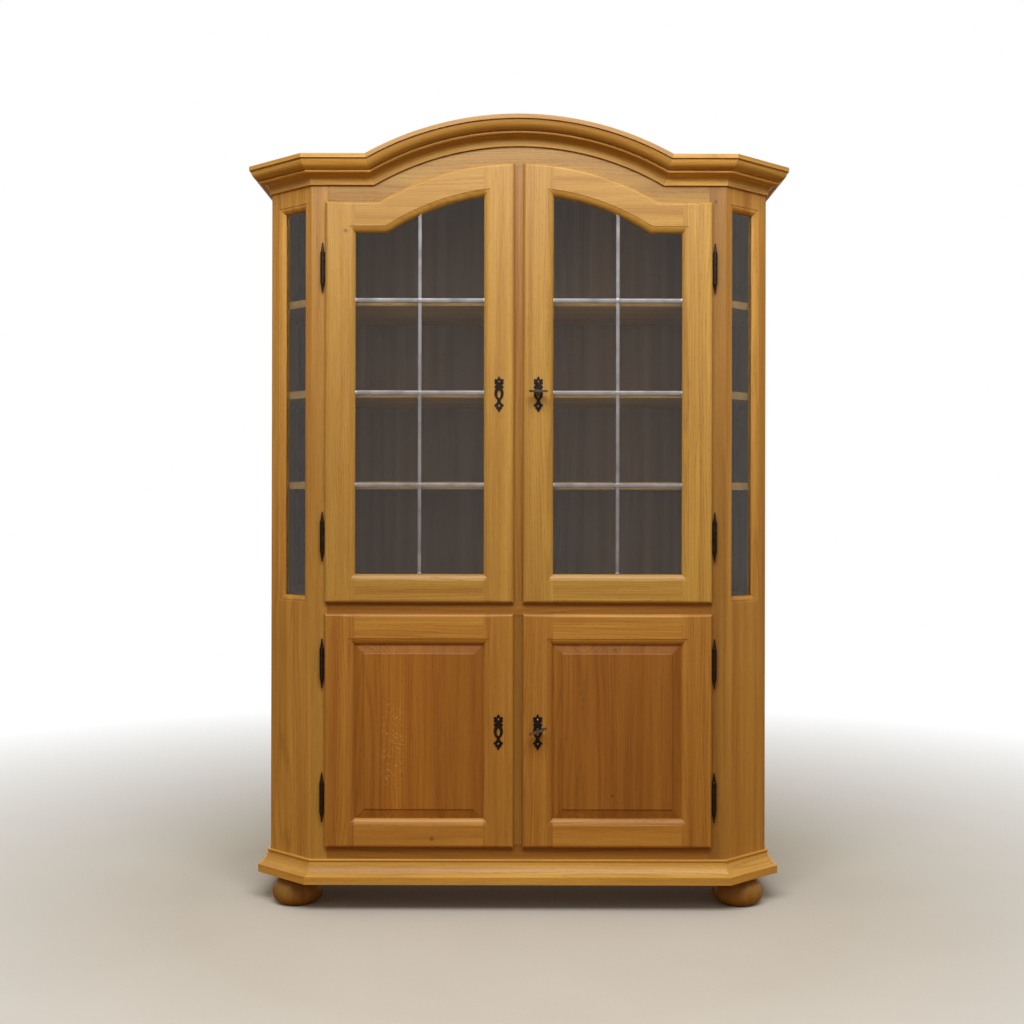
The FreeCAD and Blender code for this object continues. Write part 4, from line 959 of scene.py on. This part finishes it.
@dataclass(frozen=True)
class Repeat:
    """Repeats a small shape at points, each a little different in size and turn."""

    name: str
    uneven: float = 0.0
    turn: float = 0.0
    seed: int = 7

    def tree(self) -> NodeTree:
        """Builds the tree with its named inputs."""
        tree = bpy.data.node_groups.new(self.name, "GeometryNodeTree")
        for label, kind in (
            ("Points", "Geometry"),
            ("Shape", "Object"),
            ("Unevenness", "Float"),
            ("Turn", "Float"),
            ("Seed", "Int"),
        ):
            tree.interface.new_socket(label, in_out="INPUT", socket_type=f"NodeSocket{kind}")
        tree.interface.new_socket("Result", in_out="OUTPUT", socket_type="NodeSocketGeometry")
        given = add(tree, "NodeGroupInput").outputs
        shape = add(tree, "GeometryNodeObjectInfo", {"Object": given["Shape"]})
        low = add(tree, "ShaderNodeMath", [1.0, given["Unevenness"]], operation="SUBTRACT")
        high = add(tree, "ShaderNodeMath", [1.0, given["Unevenness"]], operation="ADD")
        size, angle = (
            add(
                tree,
                "FunctionNodeRandomValue",
                {"Min": least, "Max": most, "Seed": given["Seed"]},
                data_type="FLOAT",
            )
            for least, most in ((low, high), (0.0, given["Turn"]))
        )
        placed = add(
            tree,
            "GeometryNodeInstanceOnPoints",
            {
                "Points": given["Points"],
                "Instance": shape.outputs["Geometry"],
                "Rotation": add(tree, "ShaderNodeCombineXYZ", {1: angle}),
                "Scale": size,
            },
        )
        real = add(tree, "GeometryNodeRealizeInstances", [placed])
        add(tree, "NodeGroupOutput", [real])
        return tree

    def build(self, shape: Mesh, spots: list[Vector], finish: Finish) -> Mesh:
        """Makes one mesh of the shape at every spot.

        Args:
            shape: The small shape, about the origin.
            spots: Its places.
            finish: Its finish.

        Returns:
            The plain mesh.
        """
        tree = bpy.data.node_groups.get(self.name) or self.tree()
        shape.materials.append(finish.material())
        model = bpy.data.objects.new("model", shape)
        cloud = bpy.data.meshes.new("spots")
        cloud.from_pydata([tuple(s) for s in spots], [], [])
        carrier = bpy.data.objects.new("carrier", cloud)
        bpy.context.scene.collection.objects.link(carrier)
        modifier = carrier.modifiers.new("repeat", "NODES")
        modifier.node_group = tree
        values = {"Shape": model, "Unevenness": self.uneven, "Turn": self.turn, "Seed": self.seed}
        for socket in tree.interface.items_tree:
            if socket.in_out == "INPUT" and socket.name in values:
                modifier[socket.identifier] = values[socket.name]
        done = bpy.data.meshes.new_from_object(
            carrier.evaluated_get(bpy.context.evaluated_depsgraph_get())
        )
        carrier.modifiers.clear()
        for thing in (carrier, model):
            bpy.data.objects.remove(thing)
        return done


# Sub-assemblies


class Side(Enum):
    """Left or right, seen from the front."""

    LEFT = "left"
    RIGHT = "right"


class Carcass:
    """Sides, boards, back, shelves, pins, feet and their blocks."""

    def build(self) -> None:
        """Dresses every board of the case."""
        panel = Timber(Grain.UP, tone_and_light=0.94, staves=9.0)
        for side in Side:
            panel.dress(f"side_panel_{side.value}")
        level = Timber(Grain.ACROSS, tone_and_light=0.97, staves=8.0)
        for board in ("bottom_board", "middle_board", "top_board", "lower_shelf"):
            level.dress(board)
        shelf = Timber(Grain.ACROSS, tone_and_light=1.0, warmth_and_warm_light=0.1)
        for board in ("upper_shelf_low", "upper_shelf_middle", "upper_shelf_high"):
            shelf.dress(board)
        Timber(Grain.UP, tone_and_light=0.9).dress("foot_blocks")
        Timber(Grain.UP, tone_and_light=0.76, warmth_and_warm_light=0.4, arris=0.0006).dress("bun_feet")
        back = Timber(Grain.UP, tone_and_light=1.0, warmth_and_warm_light=0.0, staves=4.5, spread=0.0)
        back.dress("back_panel", finish=Finish.BACK_VENEER)
        dress_metal("shelf_pins", "case", Finish.BRASS, arris=0.0006)


class FaceFrame:
    """Corner stiles, rails, centre post and ball catches."""

    def build(self) -> None:
        """Dresses the frame that the doors close on."""
        Timber(Grain.UP, tone_and_light=0.98, warmth_and_warm_light=0.3).dress("corner_stile_left")
        # The right corner stile is set darker as painted shade, the light falling from the left
        right = Timber(Grain.UP, tone_and_light=0.8, warmth_and_warm_light=0.4)
        right.dress("corner_stile_right", finish=Finish.KNOTTY_OAK)
        # The centre post is set darker: partly a darker board, partly painted shade in its recess
        # between the doors
        Timber(Grain.UP, tone_and_light=0.77, warmth_and_warm_light=0.5).dress("centre_post")
        # The arched rail is set darker as painted shadow under the cornice
        Timber(Grain.ACROSS, tone_and_light=0.8, warmth_and_warm_light=0.0, fleck=0.3).dress("arched_rail")
        # The middle and bottom rails are set darker and warmer: painted shade and warm floor light
        # low down
        Timber(Grain.ACROSS, tone_and_light=0.82, warmth_and_warm_light=0.75).dress("middle_rail")
        Timber(Grain.ACROSS, tone_and_light=0.75, warmth_and_warm_light=0.7).dress("bottom_rail")
        repaint("ball_catches", Finish.BRASS)


@dataclass
class CantedCorner:
    """A canted corner board with its narrow window."""

    side: Side

    def build(self) -> None:
        """Dresses the board and its pane."""
        # The canted board is set lighter as painted light from the sides
        board = Timber(Grain.UP, tone_and_light=1.22, warmth_and_warm_light=0.3, arris=0.0004)
        board.dress(f"cant_frame_{self.side.value}")
        repaint(f"cant_pane_{self.side.value}", Finish.GLASS)


@dataclass
class Mouldings:
    """Cornice and plinth."""

    cornice_arris: float = 0.0008
    plinth_arris: float = 0.0012

    def build(self) -> None:
        """Dresses every length of moulding."""
        arch = Timber(Grain.AROUND, tone_and_light=1.07, warmth_and_warm_light=0.1, arris=self.cornice_arris)
        arch.dress("cornice_arch")
        # The straight lengths are set lighter than the arch as painted light from the sides
        cornice = Timber(Grain.LENGTHWISE, tone_and_light=1.36, warmth_and_warm_light=0.04, arris=self.cornice_arris)
        # The plinth is set lighter: partly a paler board, partly painted light on its up-facing
        # moulding
        plinth = Timber(Grain.LENGTHWISE, tone_and_light=1.4, warmth_and_warm_light=0.04, arris=self.plinth_arris)
        for side in Side:
            cornice.dress(f"cornice_{side.value}")
            plinth.dress(f"plinth_{side.value}")
        front = Timber(Grain.ACROSS, tone_and_light=1.4, warmth_and_warm_light=0.04, arris=self.plinth_arris)
        front.dress("plinth_front")


@dataclass
class Door:
    """A door: stiles, rails, and the hinge halves and keyhole plate on it."""

    side: Side
    level: str = "upper"
    frame_arris: float = 0.0004

    @property
    def body(self) -> str:
        """The body that the door is."""
        return f"{self.level}_{self.side.value}_door"

    @property
    def is_left(self) -> bool:
        """Whether it hangs on the left."""
        return self.side is Side.LEFT

    def build_frame(self, stiles: Timber, rails: Timber) -> None:
        """Dresses stiles, rails and fittings.

        Args:
            stiles: Timber of the stiles.
            rails: Timber of the rails.
        """
        finish = Finish.KNOTTY_OAK if self.is_left else Finish.OAK
        stiles.dress(f"{self.body}_stiles", self.body, finish)
        rails.dress(f"{self.body}_rails", self.body, finish)
        repaint(f"{self.body}_hinge_leaves", Finish.IRON)
        self.build_plate()

    def build_plate(self) -> None:
        """The keyhole plate, with its nails' heads in bright steel."""
        node = f"{self.body}_keyhole_plate"
        mesh = eased(joined_copy(node), width=0.0005)
        mesh.materials.append(Finish.IRON.material())
        mesh.materials.append(Finish.KEY_STEEL.material())
        label = islands(mesh)
        counts = np.bincount(label)
        plate = int(counts.argmax())
        for face in mesh.polygons:
            face.material_index = 0 if label[face.vertices[0]] == plate else 1
        settle(f"{node}_iron", mesh, self.body, Finish.IRON, (node,))


@dataclass
class GlazedDoor(Door):
    """An upper door: a pane with lead cames on both faces and solder at their joints."""

    came_width: float = 0.0095
    level_came_width: float = 0.0114
    came_height: float = 0.0018
    came_steps: int = 8
    came_levels: tuple[float, ...] = (1.130, 1.3755, 1.621)
    # How far a came reaches into the frame
    tuck: float = 0.003
    solder_radius: float = 0.0078
    solder_height: float = 0.0026
    end_solder_radius: float = 0.006
    # Shares of a joint's radius and height, from its rim to its middle
    solder_dome: tuple[Pair, ...] = ((1, 0), (0.93, 0.5), (0.7, 0.84), (0.35, 0.98), (0, 1))
    solder_steps: int = 18
    top_joint_drop: float = 0.001
    # Edges sharper than these many degrees stay sharp to the eye
    came_crease: float = 50.0
    solder_crease: float = 60.0

    def build(self) -> None:
        """Dresses the frame and builds the glazing."""
        self.build_frame(
            Timber(Grain.UP, tone_and_light=1.02, warmth_and_warm_light=0.06, arris=self.frame_arris),
            Timber(Grain.ACROSS, tone_and_light=1.0, warmth_and_warm_light=0.0, arris=self.frame_arris),
        )
        repaint(f"{self.body}_pane", Finish.GLASS)
        self.build_cames()

    def came(
        self, shape: bmesh.types.BMesh, ends: tuple[Vector, Vector], out: Vector, width: float
    ) -> None:
        """Adds one came, flat on the glass and rounded outside.

        Args:
            shape: The mesh that it is added to.
            ends: Its two ends, on the glass.
            out: The direction out from the glass.
            width: Its width.
        """
        along = (ends[1] - ends[0]).normalized()
        wide = along.cross(out)
        profile = []
        for i in range(self.came_steps + 1):
            angle = math.pi * i / self.came_steps
            rise = math.sin(angle) ** 0.5 * self.came_height
            profile.append(wide * (math.cos(angle) * width / 2) + out * rise)
        rings = [[shape.verts.new(spot + offset) for offset in profile] for spot in ends]
        skin(shape, rings)
        for ring in rings:
            shape.faces.new(ring)

    def build_cames(self) -> None:
        """Builds the lead grid on both faces of the pane."""
        node = f"{self.body}_lead_lattice"
        low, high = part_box(node)
        pane_low, pane_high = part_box(f"{self.body}_pane")
        middle = (low.x + high.x) / 2
        shape = bmesh.new()
        joints = []
        for out, face in ((Vector((0, -1, 0)), pane_low.y), (Vector((0, 1, 0)), pane_high.y)):
            foot = Vector((middle, face, low.z - self.tuck))
            head = Vector((middle, face, high.z + self.tuck))
            self.came(shape, (foot, head), out, self.came_width)
            for level in self.came_levels:
                left = Vector((low.x - self.tuck, face, level))
                right = Vector((high.x + self.tuck, face, level))
                self.came(shape, (left, right), out, self.level_came_width)
            crossings = [Vector((middle, face, level)) for level in self.came_levels]
            ends = [Vector((x, face, level)) for x in (low.x, high.x) for level in self.came_levels]
            ends.append(Vector((middle, face, low.z)))
            ends.append(Vector((middle, face, high.z - self.top_joint_drop)))
            joints.append((self.solder_radius, out.y, crossings))
            joints.append((self.end_solder_radius, out.y, ends))
        bmesh.ops.recalc_face_normals(shape, faces=shape.faces)
        mesh = finished(shape, node)
        mesh.shade_smooth()
        mesh.set_sharp_from_angle(angle=math.radians(self.came_crease))
        settle(f"{node}_cames", mesh, self.body, Finish.LEAD, (node,))
        self.build_solder(node, joints)

    def build_solder(self, node: str, joints: list[tuple[float, float, list[Vector]]]) -> None:
        """Solders every crossing and end of the cames.

        Args:
            node: The lattice's node, for the piece's name.
            joints: Radius, direction out along Y and places of each kind of joint.
        """
        repeat = Repeat("wiped_joints", uneven=0.12, turn=6.0, seed=11)
        whole = bmesh.new()
        for radius, direction, places in joints:
            dome = [(radius * out, self.solder_height * up) for out, up in self.solder_dome]
            model = turned_shape(dome, self.solder_steps)
            if direction > 0:
                model.transform(Matrix.Rotation(math.pi, 4, "Z"))
            mesh = repeat.build(model, places, Finish.SOLDER)
            whole.from_mesh(mesh)
            bpy.data.meshes.remove(mesh)
        done = finished(whole, "solder")
        done.shade_smooth()
        done.set_sharp_from_angle(angle=math.radians(self.solder_crease))
        settle(f"{node}_solder", done, self.body, Finish.SOLDER)


@dataclass
class PanelledDoor(Door):
    """A lower door with a raised panel glued up from staves."""

    level: str = "lower"

    def build(self) -> None:
        """Dresses the frame and the panel."""
        # The lower doors' wood is set warmer, and the panel darker, as painted dim, warm light near
        # the floor
        self.build_frame(
            Timber(Grain.UP, tone_and_light=0.99, warmth_and_warm_light=0.62, arris=self.frame_arris),
            Timber(Grain.ACROSS, tone_and_light=1.16, warmth_and_warm_light=0.44, arris=self.frame_arris),
        )
        # The low crease keeps the bevel crisp where it meets the field at a slight angle
        panel = Timber(
            Grain.UP,
            tone_and_light=0.92,
            warmth_and_warm_light=0.88,
            fleck=0.6 if self.is_left else 0.0,
            staves=7.0,
            arris=0.001,
            crease=8.0,
        )
        finish = Finish.RAYED_OAK if self.is_left else Finish.KNOTTY_OAK
        panel.dress(f"{self.body}_panel", self.body, finish)


@dataclass
class Lock:
    """Lock case, bolt and key of a right-hand door."""

    level: str
    screw_radius: float = 0.0034
    screw_height: float = 0.0012
    screw_inset: float = 0.008
    screw_steps: int = 20
    # Half the slot's width as a share of the head's radius
    slot_share: float = 0.16
    # The head's halves beside the slot: their radius as a share, their steps round, and their
    # heights and widths as shares from the slot's floor up
    half_share: float = 0.97
    half_steps: int = 10
    half_rings: tuple[Pair, ...] = ((0.45, 1.0), (0.85, 0.98), (1.0, 0.9))

    def build(self) -> None:
        """Dresses the case, bolt and key, and adds the case's screws."""
        door = f"{self.level}_right_door"
        dress_metal(f"{self.level}_lock_case", door, Finish.ZINC, arris=0.0008)
        dress_metal(f"{self.level}_lock_bolt", f"{self.level}_bolt", Finish.ZINC, arris=0.0004)
        key = f"{self.level}_key"
        dress_metal(key, key, Finish.KEY_STEEL, arris=0.0009, segments=3)
        low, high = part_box(f"{self.level}_lock_case")
        spots = [
            Vector((x, high.y, z))
            for x in (low.x + self.screw_inset, high.x - self.screw_inset)
            for z in (low.z + self.screw_inset, high.z - self.screw_inset)
        ]
        mesh = Repeat("case_screws", turn=3.0, seed=5).build(self.screw_head(), spots, Finish.ZINC)
        settle(f"{self.level}_lock_screws", mesh, door, Finish.ZINC)

    def screw_head(self) -> Mesh:
        """A slotted round head that faces +Y, about the origin."""
        radius, height = self.screw_radius, self.screw_height
        shape = bmesh.new()
        disc = [(radius, 0.0), (radius, height * 0.5), (0.0, height * 0.5)]
        base = turned_shape(disc, self.screw_steps)
        shape.from_mesh(base)
        bpy.data.meshes.remove(base)
        reach = math.acos(self.slot_share)
        width = radius * self.half_share
        for start in (-reach, math.pi - reach):
            steps = range(self.half_steps + 1)
            rim = [start + 2 * reach * i / self.half_steps for i in steps]
            spots = [(width * math.cos(a), width * math.sin(a)) for a in rim]
            rings = [
                [shape.verts.new((x * share, -height * lift, z * share)) for x, z in spots]
                for lift, share in self.half_rings
            ]
            skin(shape, rings)
            shape.faces.new(rings[-1])
        bmesh.ops.recalc_face_normals(shape, faces=shape.faces)
        mesh = finished(shape, "screw_head")
        mesh.transform(Matrix.Rotation(math.pi, 4, "Z"))
        return mesh


@dataclass
class Studio:
    """Pale floor, soft light from above, white surroundings and the camera."""

    # The camera's distance is taken from the doors' faces
    camera_distance: float = 3.360
    front: float = -0.167
    eye_height: float = 1.070
    lens: float = 44.47
    shift: Pair = (-0.0063, -0.0039)
    roll_deg: float = 0.12
    key_power: float = 79.0
    key_size: Pair = (2.8, 1.2)
    key_place: Triple = (0.0, -2.0, 3.25)
    fill_above: float = 0.45
    fill_level: float = 0.15
    fill_sides: float = 0.42
    fill_colour: str = "#FFF6E6"
    bounce_colour: str = "#9C7748"
    # How bright reflections find the room in front, and how much brighter it is to the right
    room: float = 0.1
    room_slope: float = 0.08
    # Parts of a unit direction: back where the room ends, up and aside where the fills grow
    room_band: Pair = (0.25, 0.7)
    above_band: Pair = (0.0, 0.9)
    side_band: Pair = (0.3, 1.0)
    floor_size: float = 30.0
    floor_colour: str = "#D8D2C8"
    floor_patches: str = "#D0CAC0"
    floor_patch_mm: float = 333.333
    # Distances from the middle between which the floor fades to white
    floor_fade: Pair = (0.9, 3.4)
    aim_height: float = 1.3

    def build(self) -> None:
        """Builds everything that isn't the cabinet."""
        self.build_camera()
        self.build_world()
        self.build_floor()
        self.build_key_light()
        bpy.context.scene.view_settings.view_transform = "Standard"

    def build_camera(self) -> None:
        """Places the camera straight in front, level but for a slight roll."""
        data = bpy.data.cameras.new("camera")
        data.lens = self.lens
        data.shift_x, data.shift_y = self.shift
        camera = bpy.data.objects.new("camera", data)
        bpy.context.scene.collection.objects.link(camera)
        camera.location = (0.0, self.front - self.camera_distance, self.eye_height)
        roll = Matrix.Rotation(math.radians(-self.roll_deg), 4, "Y")
        camera.rotation_euler = (roll @ Matrix.Rotation(math.pi / 2, 4, "X")).to_euler()
        bpy.context.scene.camera = camera

    def build_world(self) -> None:
        """White surroundings, brighter from above; reflections show a dim room in front."""
        world = bpy.data.worlds.new("studio")
        bpy.context.scene.world = world
        world.use_nodes = True
        tree = world.node_tree
        tree.nodes.clear()
        seen = shown(tree)
        way = add(tree, "ShaderNodeTexCoord").outputs["Generated"]
        across, depth, height = add(tree, "ShaderNodeSeparateXYZ", [way]).outputs
        room = add(tree, "ShaderNodeMapRange", [depth, *self.room_band, self.room, 1.0])
        room = add(
            tree, "ShaderNodeMath", [across, self.room_slope, room], operation="MULTIPLY_ADD"
        )
        above = add(
            tree, "ShaderNodeMapRange", [height, *self.above_band, self.fill_level, self.fill_above]
        )
        aside = add(tree, "ShaderNodeMath", [across], operation="ABSOLUTE")
        sides = add(tree, "ShaderNodeMapRange", [aside, *self.side_band, 0.0, self.fill_sides])
        fill = add(tree, "ShaderNodeMath", [above, sides], operation="ADD")
        glossy = add(tree, "ShaderNodeLightPath").outputs["Is Glossy Ray"]
        mirrored = add(
            tree, "ShaderNodeMix", {"Factor": glossy, "A": fill, "B": room}, data_type="FLOAT"
        )
        strength = add(
            tree, "ShaderNodeMix", {"Factor": seen, "A": mirrored, "B": 1.0}, data_type="FLOAT"
        )
        tint = add(
            tree, "ShaderNodeMix",
            {"Factor": seen, "A": linear(self.fill_colour), "B": (1, 1, 1, 1)}, data_type="RGBA",
        )
        background = add(tree, "ShaderNodeBackground", {"Color": tint, "Strength": strength})
        add(tree, "ShaderNodeOutputWorld", {"Surface": background})

    def build_floor(self) -> None:
        """A pale floor that fades to white further off."""
        bpy.ops.mesh.primitive_plane_add(size=self.floor_size)
        floor = bpy.context.object
        floor.name = "studio_floor"
        material, tree = new_material("studio_floor")
        where = add(tree, "ShaderNodeTexCoord").outputs["Object"]
        away = add(tree, "ShaderNodeVectorMath", [where], operation="LENGTH")
        fade = add(tree, "ShaderNodeMapRange", [away.outputs["Value"], *self.floor_fade])
        seen = shown(tree)
        share = add(tree, "ShaderNodeMath", [fade, seen], operation="MULTIPLY")
        speckle = add(
            tree, "ShaderNodeTexNoise",
            {"Vector": where, "Scale": 1000 / self.floor_patch_mm, "Detail": 6.0},
        )
        colour = add(
            tree, "ShaderNodeMix",
            {"Factor": speckle, "A": linear(self.floor_patches), "B": linear(self.floor_colour)},
            data_type="RGBA",
        )
        tinted = add(
            tree, "ShaderNodeMix", {"Factor": seen, "A": linear(self.bounce_colour), "B": colour},
            data_type="RGBA",
        )
        matt = add(tree, "ShaderNodeBsdfDiffuse", {"Color": tinted})
        white = add(tree, "ShaderNodeEmission", {"Color": (1, 1, 1, 1), "Strength": 1.0})
        mixed = add(tree, "ShaderNodeMixShader", [share, matt, white])
        add(tree, "ShaderNodeOutputMaterial", {"Surface": mixed})
        floor.data.materials.append(material)

    def build_key_light(self) -> None:
        """A wide soft lamp above and in front, so that the top is brighter than the foot."""
        data = bpy.data.lights.new("key", "AREA")
        data.shape = "RECTANGLE"
        data.size, data.size_y = self.key_size
        data.energy = self.key_power
        lamp = bpy.data.objects.new("key", data)
        bpy.context.scene.collection.objects.link(lamp)
        lamp.location = self.key_place
        aim = Vector((0.0, self.front, self.aim_height)) - Vector(self.key_place)
        lamp.rotation_euler = aim.to_track_quat("-Z", "Y").to_euler()


def main() -> None:
    """Builds the studio and every sub-assembly."""
    logging.basicConfig(level=logging.INFO, format="%(name)s %(message)s")
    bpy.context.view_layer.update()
    Studio().build()
    Carcass().build()
    FaceFrame().build()
    Mouldings().build()
    for side in Side:
        CantedCorner(side).build()
        GlazedDoor(side).build()
        PanelledDoor(side).build()
    for level in ("upper", "lower"):
        Lock(level).build()
    repaint("frame_hinge_leaves", Finish.IRON)
    bpy.context.view_layer.update()


if __name__ == "__main__":
    main()
